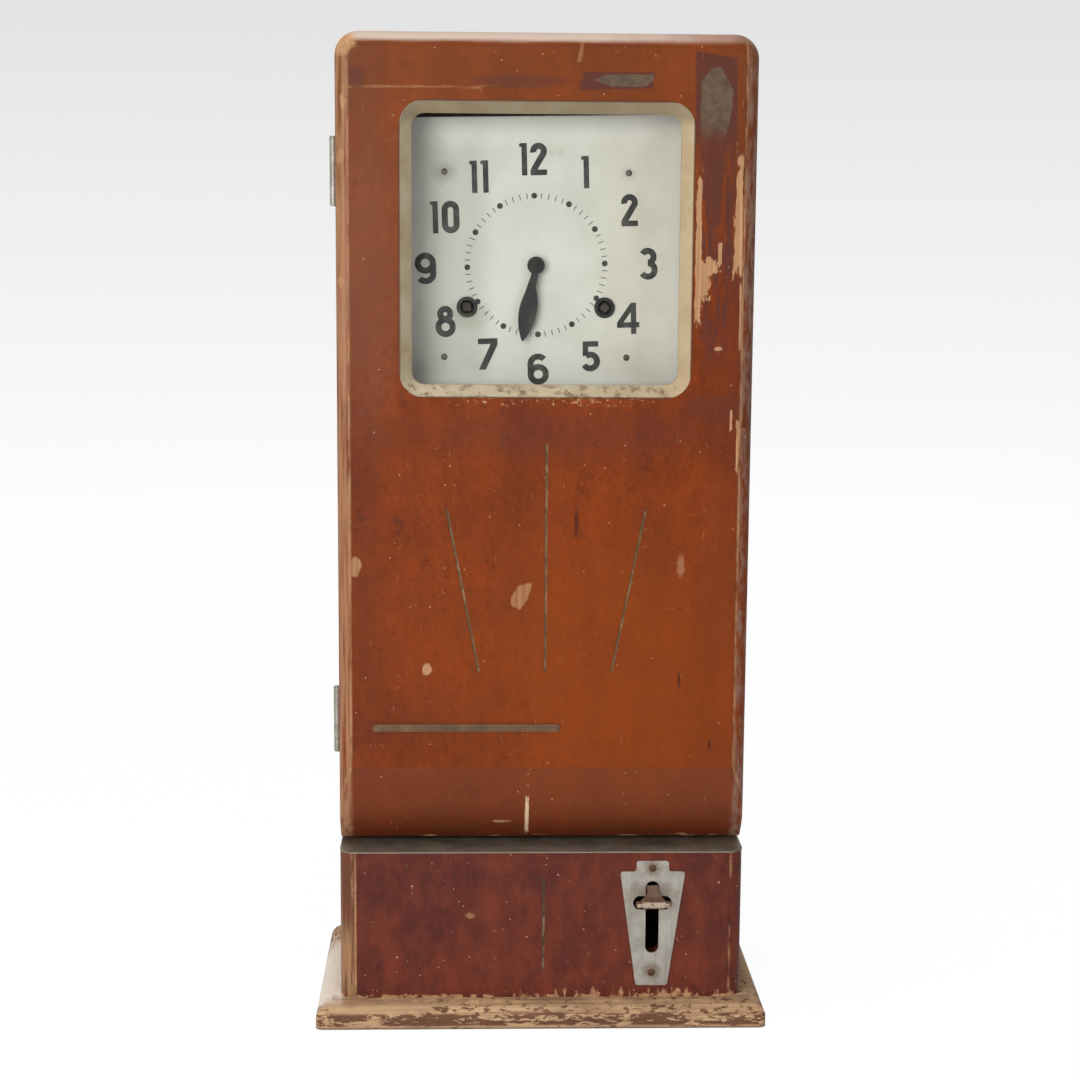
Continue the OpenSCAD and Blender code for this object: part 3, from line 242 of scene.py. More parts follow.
class Finish(Tree):
    """One procedural material, with its pattern coordinates in millimetres."""

    def __init__(self, name, rough, metal=0.0, shine=0.5):
        self.mat = bpy.data.materials.new(name)
        self.mat.use_nodes = True
        super().__init__(self.mat.node_tree)
        self.shader = self.tree.nodes["Principled BSDF"]
        self.shader.inputs["Roughness"].default_value = rough
        self.shader.inputs["Metallic"].default_value = metal
        self.shader.inputs["Specular IOR Level"].default_value = shine
        scale = self.add("VectorMath")
        scale.operation = "SCALE"
        scale.inputs["Scale"].default_value = 1 / MM
        self.feed(scale.inputs[0], self.add("TexCoord").outputs["Object"])
        self.at = scale.outputs[0]
        self.x, self.y, self.z = self.add("SeparateXYZ", Vector=self.at).outputs
        self.side = self.math("ABSOLUTE", self.x)
        self.inward = self.math("SUBTRACT", self.y, FACE_Y)

    def scaled(self, value, factor, start, clamp=False):
        """A value times a factor, from a start."""
        return self.math("MULTIPLY_ADD", value, factor, start, clamp)

    def stretched(self, size, shift):
        """The coordinates over a size in mm: one number, or one for each of X, Y and Z."""
        sizes = size if isinstance(size, tuple) else (size,) * 3
        n = self.add("Mapping", Vector=self.at, Location=shift, Scale=tuple(1 / s for s in sizes))
        return n.outputs[0]

    def noise(self, size, detail=3.0, rough=0.5, shift=(0, 0, 0), warp=0.0):
        """Noise with blotches of that size."""
        n = self.add("TexNoise", Vector=self.stretched(size, shift), Scale=1, Detail=detail,
                     Roughness=rough, Distortion=warp)
        return n.outputs["Fac"]

    def cells(self, where, share):
        """Scattered cells: a mask of a share of them, a random number each, and the distance."""
        n = self.add("TexVoronoi", Vector=where, Scale=1)
        red, green, _ = self.add("SeparateColor", Color=n.outputs["Color"]).outputs
        return self.math("LESS_THAN", red, share), green, n.outputs["Distance"]

    def specks(self, size, radius, share, shift=(0, 0, 0)):
        """Round specks, in a share of the cells of that size."""
        some, wide, away = self.cells(self.stretched(size, shift), share)
        return self.times(some, self.math("LESS_THAN", away, self.times(wide, radius)))

    def scratches(self, length, width, share, angle, shift):
        """Short straight scratches on the front, leaning by an angle from upright."""
        lean = self.add("Mapping", Vector=self.at, Location=(shift, shift, shift),
                        Rotation=(0, math.radians(angle), 0), Scale=(width * 5, 9, length * 3))
        lean.vector_type = "TEXTURE"
        some, _, away = self.cells(lean.outputs[0], share)
        return self.times(some, self.ramp(away, 0.16, 0.08))

    def ramp(self, value, low, high):
        """Smooth step from 0 at low to 1 at high, which may be the lower number."""
        n = self.add("MapRange", Value=value, From_Min=low, From_Max=high)
        n.interpolation_type = "SMOOTHSTEP"
        return n.outputs[0]

    def ragged(self, size, amount, shift=(0, 0, 0), detail=4.0):
        """A noise about zero that tears an edge by an amount."""
        return self.scaled(self.noise(size, detail, 0.6, shift), amount, -amount / 2)

    def torn(self, value, low, high, *tear):
        """A smooth step whose edge is torn by a ragged noise of that size and amount."""
        return self.ramp(self.math("ADD", value, self.ragged(*tear)), low, high)

    def near(self, axis, middle, half):
        """Distance from a place along one axis, as a share of half a width."""
        return self.math("DIVIDE", self.math("ABSOLUTE", self.math("SUBTRACT", axis, middle)), half)

    def spot(self, x, z, rx, rz, ragged, soft, square=False):
        """A stain on the front: round or square about X and Z, its rim torn by a noise."""
        dx, dz = self.near(self.x, x, rx), self.near(self.z, z, rz)
        if square:
            away = self.most(dx, dz)
        else:
            away = self.math("SQRT", self.math("ADD", self.times(dx, dx), self.times(dz, dz)))
        return self.ramp(self.math("ADD", away, ragged), 1 + soft, 1 - soft)

    def patch(self, points, ragged, soft):
        """A patch on the front with straight torn sides: corners X and Z in mm, clockwise."""
        insides = []
        for (x0, z0), (x1, z1) in zip(points, points[1:] + points[:1]):
            size = math.hypot(x1 - x0, z1 - z0)
            nx, nz = (z1 - z0) / size, (x0 - x1) / size
            insides.append(self.scaled(self.z, nz, self.scaled(self.x, nx, -nx * x0 - nz * z0)))
        return self.ramp(self.math("ADD", self.fold("MINIMUM", insides), ragged), -soft, soft)

    def mix(self, share, a, b):
        n = self.add("Mix")
        n.data_type = "RGBA"
        self.feed(n.inputs[0], share)
        self.feed(n.inputs[6], a)
        self.feed(n.inputs[7], b)
        return n.outputs[2]

    def layers(self, base, *rows):
        """Colours laid over a base in turn, each through a mask and by a share."""
        for mask, share, colour in rows:
            base = self.mix(self.times(mask, share), base, colour)
        return base

    def bump(self, height, depth):
        n = self.add("Bump", Strength=1, Distance=depth * MM, Height=height)
        self.feed(self.shader.inputs["Normal"], n.outputs[0])

    def colour(self, value):
        self.feed(self.shader.inputs["Base Color"], value)

    def rough(self, value):
        self.feed(self.shader.inputs["Roughness"], value)


def dress(finish, *names):
    """Puts a finish on pieces of the clock."""
    for name in names:
        slots = nodes[name].data.materials
        slots.clear()
        slots.append(finish.mat)


print("kit for finishes ready")

# %% [markdown]
# ## The door: old stained wood
# The door is close-grained hardwood under a brown stain and thin varnish. Painted light is laid
# into the stain's colour: a pool of deeper orange in the lower middle, a paler haze toward the top,
# and painted shade that makes the rims redder and darker. The stain has gone in places: flaked
# strips beside the window, a torn patch at the top corner, small bruises down the face, pale lines
# along every arris. Each of these is a mask over the same base, so bare wood shows its own grain.

# %% Stained wood
# Half widths of the flat face and of the door, the height of the chin's seam and the bow of its
# sides, and the heights between which the door has engraved lines, in mm.
FLAT_W, HALF_W = 162.5, 175.0
CHIN_Z, CHIN_CURVE = 227.0, 48.0
CUT_LOW, CUT_HIGH = 235.0, 548.0


def stained(name, main, deep, grain_axis="z", seed=0, wear=1.0, shine=0.25):
    """Stain over close grain: the finish, with its grain and small wear, and the stain's colour."""
    f = Finish(name, 0.45, shine=shine)
    s = (seed, seed * 1.7, seed * 0.6)
    long = {"x": (90, 2.2, 2.2), "z": (2.2, 2.2, 90)}[grain_axis]
    wide = {"x": (260, 40, 40), "z": (40, 40, 260)}[grain_axis]
    f.grain = f.noise(long, 4, 0.6, s)
    tone = f.scaled(f.noise(wide, 3, 0.55, s), 0.5, f.times(f.noise(55, 5, 0.6, s), 0.5))
    mottle = f.noise((3.6, 3.6, 6), 7, 0.76, (seed + 2, 5, 1))
    dirt = f.times(
        f.ramp(f.noise(16, 6, 0.72, s), 0.54, 0.66),
        f.ramp(f.noise(90, 2, 0.5, (seed + 3, 0, 5)), 0.44, 0.62),
    )
    stain = f.layers(
        f.mix(f.ramp(tone, 0.38, 0.64), deep, main),
        (f.ramp(f.grain, 0.55, 0.78), 0.28, toned(deep, 0.66)),
        (f.ramp(f.grain, 0.45, 0.25), 0.16, toned(main, 1.35)),
        (f.ramp(mottle, 0.50, 0.68), 0.50, toned(deep, 0.56)),
        (f.ramp(mottle, 0.48, 0.32), 0.34, toned(main, 1.34)),
        (dirt, 0.45, srgb(60, 28, 20)),
        (f.specks(4.5, 0.11, 0.16, (seed + 8, 1, 6)), 0.5, srgb(46, 24, 18)),
    )
    gathered = f.ramp(f.noise(38, 2, 0.5, (seed, 9, 4)), 0.40, 0.58)
    f.chips = f.most(
        f.times(f.specks(4.5, 0.15 * wear, 0.16, s), gathered),
        f.specks((13, 13, 18), 0.060 * wear, 0.12, (seed + 4, 2, 1)),
    )
    f.bright = f.times(f.chips, f.ramp(f.noise(7, 2, 0.5, (seed, 7, 2)), 0.42, 0.56))
    f.lines = f.most(
        f.scratches(9, 0.30 * wear, 0.028, 8, seed * 3.1),
        f.scratches(6, 0.28 * wear, 0.028, 62, seed * 5.3 + 40),
        f.scratches(7, 0.28 * wear, 0.024, -35, seed * 4.7 + 80),
    )
    return f, stain


def worn_edges(f, seed, chin=False):
    """Pale lines along the upright arrises of the quarter rounds; on the door they follow the chin."""
    bowed, low, high = FLAT_W, 0.48, 0.66
    if chin:
        straight = f.scaled(f.z, 1 / CHIN_CURVE, (CHIN_CURVE - CHIN_Z) / CHIN_CURVE, clamp=True)
        bowed = f.scaled(f.math("POWER", straight, 1.55), FLAT_W - HALF_W, HALF_W)
        low, high = 0.34, 0.60
    away = f.math("ABSOLUTE", f.math("SUBTRACT", f.math("SUBTRACT", f.side, bowed), 1.3))
    line = f.times(
        f.torn(away, 1.9, 0.1, (2, 2, 9), 1.4),
        f.ramp(f.noise((8, 30, 26), 5, 0.68, (seed, 3, 3)), low, high),
    )
    rim = f.times(
        f.ramp(f.side, 172.0, 174.6),
        f.torn(f.inward, 17, 7, (9, 9, 20), 8, (seed, 1, 1)),
        f.ramp(f.noise((20, 9, 34), 4, 0.65, (seed + 6, 0, 1)), 0.46, 0.60),
    )
    return f.most(f.times(line, 0.75), f.times(rim, 0.8))


def cut_line(f, length, dark, pale):
    """An engraved line: where the face is cut in, and dirt and bare wood by turns along it."""
    turns = f.ramp(f.noise((4, 4, length), 4, 0.65, (6, 6, 1)), 0.45, 0.65)
    cut = f.times(f.ramp(f.inward, 0.15, 0.5), f.ramp(f.inward, 4.0, 3.0))
    return cut, f.mix(turns, dark, pale)


def stain_finish(f, stain, flaked):
    """Bare wood where the stain has flaked off, duller than the stain, with the chips let in."""
    bare = f.mix(f.ramp(f.grain, 0.3, 0.75), srgb(192, 148, 108), srgb(160, 116, 82))
    f.colour(f.layers(f.mix(flaked, stain, bare), (f.bright, 0.75, srgb(222, 194, 160))))
    f.rough(f.scaled(flaked, 0.25, f.scaled(f.noise(24, 4, 0.6), 0.2, 0.34)))
    f.bump(f.math("SUBTRACT", f.times(f.grain, 0.22), f.times(f.chips, 0.6)), 0.16)


print("helpers for stained wood ready")

# %% Stains, tears and flakes on the door
# Places on the front are X, Z, half width and half height in mm.
# A stain then has its softness and its share.
FAINT_STAINS = (
    (-20, 803, 40, 5, 0.5, 0.6),
    (140, 536, 26, 12, 0.5, 0.5),
    (-158, 806, 9, 8, 0.5, 0.75),
    (-108, 276, 40, 26, 0.6, 0.12),
    (-147, 330, 14, 120, 0.6, 0.1),
    (24, 515, 120, 20, 0.7, 0.4),
    (146, 420, 14, 90, 0.7, 0.1),
)
KNOTS = ((27, 438, 1.8, 11), (116, 303, 1.4, 7), (143, 247, 1.2, 5))
# A flaked strip has a seed and the length of its tears along the grain.
STRIPS = (
    (159.6, 704, 2.8, 38, 1, 12),
    (158.8, 668, 3.6, 22, 3, 10),
    (162.4, 610, 1.3, 26, 7, 16),
    (126.0, 690, 2.3, 34, 5, 12),
    (126.0, 636, 2.4, 28, 6, 10),
    (144, 664, 1.4, 8, 8, 9),
    (155.8, 527, 0.9, 8, 9, 9),
    (162, 506, 1.6, 18, 2, 16),
)
# A flake has its softness and its share, and the size, amount and shift of the noise on its rim.
FLAKES = (
    (135, 654, 9, 7, 0.1, 1, (4, 4, 5), 3.2, (4, 2, 7)),
    (131, 640, 5, 16, 0.1, 1, (3, 4, 8), 3.2, (6, 2, 7)),
    (-172, 834, 13, 11, 0.3, 1, (9, 9, 5), 1.6, (2, 2, 8)),
    (-167, 786, 3, 5, 0.3, 0.8, 4, 2.2, (2, 5, 8)),
    (-170, 742, 3, 6, 0.3, 0.7, 4, 2.2, (7, 5, 8)),
    (-170, 640, 3, 4, 0.3, 0.7, 4, 2.2, (3, 1, 8)),
    (116, 402, 3, 9, 0.4, 0.45, 3, 2.4, (1, 6, 2)),
    (-36, 175, 7, 1.4, 0.4, 0.7, (5, 4, 3), 2.4, (5, 2, 5)),
)
# Patches are given by their corners, X and Z in mm.
DARK_CORNER = [(122, 740), (121, 829), (155, 823), (157, 740)]
DARK_LABEL = [(26, 797), (30, 811), (88, 811), (86, 798)]
PAPER_CORNER = [(126, 752), (126, 804), (134, 815), (142, 816), (152, 797), (152, 785), (146, 752)]
PAPER_LABEL = [(38, 804.5), (48, 809), (86, 809.5), (87, 805), (80, 799.5), (52, 799.5)]
TOP_NICK = [(24, 819), (27, 835), (30, 835), (27, 819)]
BRUISE = [(-28, 369), (-28, 375), (-21.5, 385), (-10, 388), (-14, 373), (-20, 364.5), (-26, 367)]


def old_stains(f, stain, tear):
    """Dark patches where something was glued to the door, with torn paper left in two of them."""
    streaks = f.ramp(f.noise((5, 5, 34), 5, 0.65, (3, 3, 1)), 0.40, 0.54)
    dark = f.most(
        f.times(f.patch(DARK_CORNER, f.ragged((4, 4, 12), 2.4), 1.2),
                f.torn(f.z, 730, 770, (6, 9, 30), 40)),
        f.times(f.spot(140, 690, 17, 112, tear, 0.4), streaks),
        f.patch(DARK_LABEL, f.ragged(4, 2.0), 0.6),
        *(f.times(f.spot(*place, tear, soft), share) for *place, soft, share in FAINT_STAINS),
    )
    knots = f.most(*(f.spot(*place, tear, 0.4) for place in KNOTS))
    paper = f.most(
        f.times(f.patch(PAPER_CORNER, f.ragged((4, 4, 8), 3.0), 0.6),
                f.torn(f.z, 754, 776, (5, 9, 16), 18)),
        f.patch(PAPER_LABEL, f.ragged(3, 1.2), 0.4),
    )
    aged = f.mix(f.ramp(f.noise(8, 4, 0.6), 0.35, 0.7), srgb(104, 87, 70), srgb(84, 70, 58))
    return f.layers(
        stain,
        (f.times(dark, f.front), 0.8, srgb(82, 46, 40)),
        (f.times(knots, f.front), 0.75, srgb(66, 28, 16)),
        (f.times(paper, f.front), 0.92, aged),
    )


def strip(f, x, z, rx, rz, seed, grain):
    """A flaked strip that runs up the wood, with sides torn along the grain."""
    return f.spot(x, z, rx, rz, f.ragged((3, 3, grain), 2.0, (seed, seed * 2, 1)), 0.08, True)


def door_flakes(f, seed, tear):
    """Everything that has lost its stain, from broad strips to single chips."""
    gouge = f.spot(-13, 181, 1.5, 17, f.ragged((2, 2, 9), 1.4, (2, 7, 7)), 0.2, True)
    dots = f.specks((4.2, 40, 5.0), 0.14, 0.035, (seed + 5, 0, 3))
    f.bright = f.most(f.bright, f.times(f.most(gouge, dots), f.front))
    sill = f.times(
        f.ramp(f.z, 548, 542),
        f.ramp(f.z, 536, 540),
        f.ramp(f.near(f.x, 10, 100), 1, 0.6),
        f.ramp(f.noise((5, 5, 4), 5, 0.7, (3, 8, 1)), 0.56, 0.62),
    )
    hem = f.times(
        f.ramp(f.z, 162.5, 159.5),
        f.ramp(f.noise((34, 9, 9), 3, 0.6, (9, 2, 4)), 0.60, 0.66),
    )
    marks = f.most(
        *(strip(f, *row) for row in STRIPS),
        *(f.times(f.spot(*place, f.ragged(size, amount, shift, 6), soft), share)
          for *place, soft, share, size, amount, shift in FLAKES),
        f.spot(144, 586, 3.2, 1.8, f.ragged(3, 0.9, (seed + 2, 1, 2)), 0.2),
        f.spot(-99, 313, 4, 5, tear, 0.2),
        f.times(f.spot(-159.6, 401, 5.0, 8, tear, 0.2), 0.7),
        f.times(f.spot(-112, 798, 44, 0.9, f.ragged((16, 4, 3), 3.4), 0.5, True), 0.34),
        f.times(f.patch(TOP_NICK, f.ragged((2, 2, 12), 2.4), 0.7), 0.36),
        f.times(f.patch(BRUISE, f.ragged((5, 5, 8), 3.0), 1.0), 0.6),
        gouge,
        sill,
        hem,
    )
    edges = worn_edges(f, seed, chin=True)
    return f.most(f.times(marks, f.front), edges, f.times(f.lines, 0.6), f.chips)


def door_wood(name, seed, reach):
    """The door's finish: marks on the face reach that far in from it, in mm."""
    f, stain = stained(name, srgb(132, 54, 6), srgb(108, 44, 8), seed=seed, shine=0.16)
    tear = f.ragged(7, 1.1, (seed, 1, 2))
    f.front = f.ramp(f.inward, reach, reach - 3)
    rounding = f.torn(f.inward, reach + 2, reach - 6, (9, 9, 22), 6, (seed, 4, 4))
    shade = f.scaled(f.ramp(f.z, 430, 600), 0.34, 0.16)
    # The chin below its seam is browner and darker: painted shade on its downward slope.
    chin = f.torn(f.z, CHIN_Z + 0.8, CHIN_Z - 0.8, (60, 9, 9), 1.6)
    # Darker still toward the foot of the chin: painted shade.
    chin_foot_shade = f.torn(f.z, 204, 158, (26, 9, 16), 46, (1, 3, 5))
    stain = f.layers(
        stain,
        # Redder and darker toward the sides, more so higher up: painted shade.
        (f.ramp(f.side, 124, 170), shade, srgb(90, 42, 27)),
        # Paler and hazier toward the top: a painted haze of light.
        (f.ramp(f.z, 600, 840), 0.40, srgb(120, 67, 31)),
        # A pool of brighter, deeper orange in the lower middle: painted light.
        (f.spot(70, 300, 130, 130, tear, 0.7), 0.45, srgb(146, 64, 5)),
        (f.spot(-146, 640, 26, 110, tear, 0.6), 0.2, srgb(152, 104, 78)),
        # Painted shade on the chin.
        (chin, 0.45, srgb(108, 58, 38)),
        # Painted shade at the chin's foot.
        (chin_foot_shade, 0.5, srgb(84, 40, 24)),
    )
    stain = old_stains(f, stain, tear)
    cut, in_cut = cut_line(f, 12, srgb(108, 84, 58), srgb(156, 126, 92))
    groove = f.times(
        cut,
        f.math("GREATER_THAN", f.z, CUT_LOW),
        f.math("LESS_THAN", f.z, CUT_HIGH),
        f.ramp(f.side, 140, 130),
    )
    # Paler on the left rounding: rubbed wear, with a painted highlight from the main lamp on the left.
    rubbed = f.times(
        rounding,
        f.ramp(f.x, -FLAT_W + 1, -FLAT_W - 5),
        f.ramp(f.noise((3.2, 8, 70), 4, 0.6, (2, 4, 4)), 0.25, 0.62),
    )
    # Greyer on the right rounding, which turns away from the main lamp: painted shade.
    right_rounding_shade = f.times(
        rounding,
        f.ramp(f.x, FLAT_W, FLAT_W + 4),
        f.ramp(f.noise((5, 9, 22), 5, 0.7, (1, 4, 6)), 0.40, 0.62),
    )
    # Pale along the left part of the top rounding: bleached wood with a painted highlight from the top
    # lamp.
    bleached_and_lit_top = f.times(
        rounding,
        f.torn(f.z, TOP_Z - 10, TOP_Z - 5, (40, 9, 4), 3.0, (8, 1, 1)),
        f.torn(f.x, 230, 40, 40, 160, (2, 2, 2)),
    )
    stain = f.layers(
        stain,
        (groove, 0.9, in_cut),
        (rubbed, 0.68, srgb(184, 138, 104)),
        (right_rounding_shade, 0.8, srgb(136, 108, 92)),
        (bleached_and_lit_top, 0.82, srgb(204, 184, 168)),
    )
    stain_finish(f, stain, door_flakes(f, seed, tear))
    return f


REACH = {"door_panel": 15, "door_chin_rail": 36, "door_stiles": 15, "door_top_rail": 15}
for seed, (name, reach) in enumerate(REACH.items()):
    dress(door_wood("stained_" + name, 7 * seed, reach), name)
print("door wood on the panel, the chin, the stiles and the top rail")

# %% [markdown]
# ## The case and its lower front
# The case boards and the lower front had the same stain, but the light has not bleached them as
# much: they are redder, almost maroon. The lower front has lost its colour in ragged flakes along
# the base, where water and mops reached it.


# %% Case wood
def case_wood(name, seed, main, deep, grain_axis="z", chipped=0.4):
    """Stained wood of the case, with its colour and a mask of what has flaked off."""
    f, stain = stained(name, main, deep, grain_axis, seed, 1.1, 0.2)
    f.stain = f.layers(stain, (f.ramp(f.side, 120, 168), 0.2, srgb(74, 36, 28)))
    f.flaked = f.most(worn_edges(f, seed), f.times(f.lines, 0.5), f.times(f.chips, chipped))
    return f


f = case_wood("stained_lower_front", 31, srgb(107, 45, 29), srgb(84, 36, 28), "x", 0.9)
corner = f.ramp(f.x, -FLAT_W + 1.5, -FLAT_W - 0.5)
handled = f.times(
    corner,
    f.torn(f.z, 118, 50, (3, 3, 40), 90, (2, 2, 6)),
    f.ramp(f.noise((2.4, 8, 46), 4, 0.6, (5, 2, 1)), 0.34, 0.58),
)
cut, in_cut = cut_line(f, 9, srgb(84, 66, 50), srgb(142, 118, 94))
f.stain = f.layers(
    f.stain,
    (f.ramp(f.noise((18, 18, 34), 5, 0.6, (6, 3, 1)), 0.40, 0.66), 0.42, srgb(130, 57, 34)),
    (corner, 0.5, srgb(112, 74, 52)),
    (handled, 0.7, srgb(176, 136, 96)),
    (f.times(cut, f.ramp(f.side, 60, 50)), 0.9, in_cut),
)
f.bright = f.most(f.bright, f.specks((3.4, 40, 4.0), 0.15, 0.07, (12, 0, 3)))
washed = f.times(
    f.torn(f.z, 28, 25, (4, 4, 16), 24, (3, 1, 1), 6),
    f.torn(f.x, -30, 40, 30, 160, (4, 2, 1)),
    f.ramp(f.noise((7, 7, 26), 5, 0.68, (4, 4, 4)), 0.52, 0.57),
)
hem = f.times(
    f.torn(f.z, 24.0, 22.8, (5, 5, 9), 6, (5, 1, 1), 6),
    f.ramp(f.noise((14, 9, 20), 4, 0.65, (1, 4, 4)), 0.46, 0.52),
)
arris = f.spot(-FLAT_W + 1.4, 84, 0.9, 63, f.ragged((2, 2, 12), 0.9, (1, 1, 3)), 0.3, True)
chip = f.spot(-62, 95, 3.4, 2.4, f.ragged(3, 1.8), 0.5)
stain_finish(f, f.stain, f.most(f.flaked, washed, hem, f.times(arris, 0.75), f.times(chip, 0.5)))
dress(f, "lower_front_panel")

f = case_wood("stained_sides", 43, srgb(126, 58, 36), srgb(92, 42, 30))
stain_finish(f, f.stain, f.flaked)
dress(f, "left_side", "right_side")

f = case_wood("stained_top", 57, srgb(126, 62, 40), srgb(98, 48, 34), "x")
crown = f.times(
    f.torn(f.y, FACE_Y + 24, FACE_Y + 8, 14, 20),
    f.ramp(f.noise((30, 9, 9), 4, 0.65, (1, 2, 3)), 0.36, 0.56),
)
stain_finish(f, f.stain, f.most(f.flaked, f.times(crown, 0.7)))
dress(f, "top_board")
print("case wood on the sides, top and lower front")

# %% [markdown]
# ## The base: bare wood with remains of brown
# The moulded base has been knocked and washed until little stain is left. Pale wood with grey dirt
# shows along the top flat, and torn islands of dark brown hold on along the lower front. The
# islands are drawn out along X, as the grain runs that way.

# %% Base wood
f = Finish("worn_base_wood", 0.68, shine=0.25)
grain = f.noise((120, 2.6, 2.6), 4, 0.62)
# The left end, which faces the main lamp, is bare wood lit up further by painted light and keeps no
# brown.
left_end = f.times(
    f.ramp(f.x, -170, -176),
    f.torn(f.inward, -16, 4, 9, 8),
    f.torn(f.inward, 190, 110, 30, 50),
)
islands = f.times(
    f.ramp(f.noise((24, 24, 6), 6, 0.70, (2.6, 1, 4)), 0.475, 0.495),
    f.times(f.torn(f.z, 15, 12, (40, 6, 6), 7), f.torn(f.z, 2.0, 4.0, (20, 6, 6), 4, (3, 1, 7))),
)
crumbs = f.times(
    f.ramp(f.noise((9, 9, 3), 5, 0.7, (7, 1, 2)), 0.55, 0.58),
    f.ramp(f.noise(50, 2, 0.5, (1, 6, 1)), 0.42, 0.56),
)
brown = f.times(f.most(islands, crumbs), f.scaled(left_end, -0.8, 1.0))
top_dirt = f.times(
    f.ramp(f.z, 17.5, 20.5),
    f.ramp(f.noise((30, 10, 10), 4, 0.6), 0.38, 0.6),
    f.ramp(f.inward, 12, 2),
)
shown = f.layers(
    f.mix(f.ramp(grain, 0.3, 0.7), srgb(206, 170, 131), srgb(176, 138, 103)),
    (f.ramp(f.noise(40, 4, 0.6), 0.44, 0.68), 0.45, srgb(142, 108, 82)),
    # Painted light on the bare left end.
    (left_end, 0.95, srgb(252, 238, 222)),
    (brown, 0.9, f.mix(f.noise(9, 3), srgb(64, 32, 21), srgb(110, 62, 42))),
    (top_dirt, 0.5, srgb(104, 78, 60)),
    # A grey line along the foot: a painted contact shadow.
    (f.torn(f.z, 2.8, 0.8, 12, 1.5), 0.7, srgb(96, 80, 72)),
)
f.colour(f.mix(f.specks(7, 0.12, 0.2), shown, srgb(60, 40, 30)))
f.bump(f.scaled(grain, 0.5, f.times(brown, 0.5)), 0.25)
dress(f, "base_board")
print("base wood ready")

# %% [markdown]
# ## Inside wood, cream paint and glass
# What the door hides is plain unstained board. The sloping frame of the window is painted cream,
# yellowed, with brown dirt in the lower corners and a dark line where it meets the stained wood.
# The pane is window glass, so a thin, mostly clear sheet with a clean reflection is enough.

# %% Inside wood, cream paint, glass
f = Finish("plain_inside_wood", 0.7, shine=0.3)
grain = f.noise((3, 3, 110), 4, 0.6)
rings = f.noise((30, 30, 300), 3, 0.5, warp=0.6)
wood = f.mix(f.ramp(grain, 0.3, 0.75), srgb(190, 150, 104), srgb(150, 108, 68))
f.colour(f.layers(wood, (f.ramp(rings, 0.45, 0.7), 0.5, srgb(126, 88, 56))))
f.bump(grain, 0.15)
dress(f, "back_board", "table_cleats", "movement_posts", "glass_beads")

f = Finish("aged_cream_paint", 0.5, shine=0.3)
cloud = f.noise(30, 4, 0.6)
grime = f.times(
    f.ramp(f.z, 564, 548),
    f.ramp(f.noise((9, 9, 7), 5, 0.7, (1, 2, 1)), 0.50, 0.60),
)
crowd = f.times(f.specks(4, 0.2, 0.4, (4, 4, 4)), f.ramp(f.noise(26, 2), 0.55, 0.62))
spots = f.most(f.specks(6, 0.14, 0.20), crowd)
bezel_low, bezel_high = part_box("window_bezel")
middle, half = (bezel_low + bezel_high) / 2 / MM, (bezel_high - bezel_low) / 2 / MM
outer = f.most(f.near(f.x, middle.x, half.x), f.near(f.z, middle.z, half.z))
f.colour(f.layers(
    f.mix(f.ramp(cloud, 0.35, 0.7), srgb(190, 175, 147), srgb(172, 154, 122)),
    # Warmer tan on the right side of the frame, which faces the main lamp: painted light.
    (f.ramp(f.x, 60, 122), 0.4, srgb(196, 168, 130)),
    # Darker along the top of the frame, which faces down: painted shade.
    (f.ramp(f.z, 766, 777), 0.6, srgb(124, 108, 86)),
    (f.most(grime, f.times(spots, 0.6)), 0.75, srgb(108, 80, 56)),
    (f.torn(outer, 0.988, 0.996, 8, 0.006), 0.8, srgb(86, 52, 36)),
))
f.rough(f.scaled(cloud, 0.2, 0.4))
f.bump(f.noise(5, 4, 0.6), 0.06)
dress(f, "window_bezel")

f = Finish("window_glass", 0.04, shine=0.5)
smear = f.noise((20, 20, 45), 4, 0.6, warp=0.4)
f.colour(f.mix(smear, srgb(60, 70, 68), srgb(92, 100, 96)))
f.rough(f.scaled(f.ramp(smear, 0.4, 0.75), 0.05, 0.03))
f.shader.inputs["Alpha"].default_value = 0.05
dress(f, "glass_pane")
print("inside wood, cream paint and glass ready")

# %% [markdown]
# ## Metals and small finishes
# The lever plate and the card table are plain steel, gone grey with handling, with rust around the
# screws. The bar on the door is brown bronze. The movement behind the dial is brass and
# black iron, and can be seen when the door is open.

# %% Steel, bronze, brass and iron
PLATE_X, PLATE_SCREWS_Z, LEVER_Z = 96, (137.5, 45), 112


def metal(name, light, dark, rough, size=22, streak=(60, 60, 3), rust=0.0, shiny=1.0):
    """Clouded, streaked and pitted metal, with patches of rust by a share."""
    f = Finish(name, rough, shiny)
    cloud = f.noise(size, 5, 0.65)
    line = f.noise(streak, 3, 0.6)
    pits = f.times(
        f.ramp(f.noise(size / 5, 4, 0.7), 0.64, 0.72),
        f.ramp(f.noise(size * 2, 2), 0.45, 0.6),
    )
    f.stained = f.layers(
        f.mix(f.ramp(cloud, 0.34, 0.7), light, dark),
        (f.ramp(line, 0.5, 0.72), 0.35, toned(dark, 0.6)),
        (pits, 0.7, srgb(70, 48, 34)),
    )
    if rust:
        eaten = f.ramp(f.noise(size * 0.7, 5, 0.7, (2, 6, 2)), 0.72 - rust, 0.80 - rust)
        f.stained = f.layers(f.stained, (eaten, 0.85, srgb(104, 62, 38)))
    f.colour(f.stained)
    f.rough(f.scaled(cloud, 0.25, rough - 0.1))
    f.bump(f.math("SUBTRACT", f.times(line, 0.4), pits), 0.05)
    return f


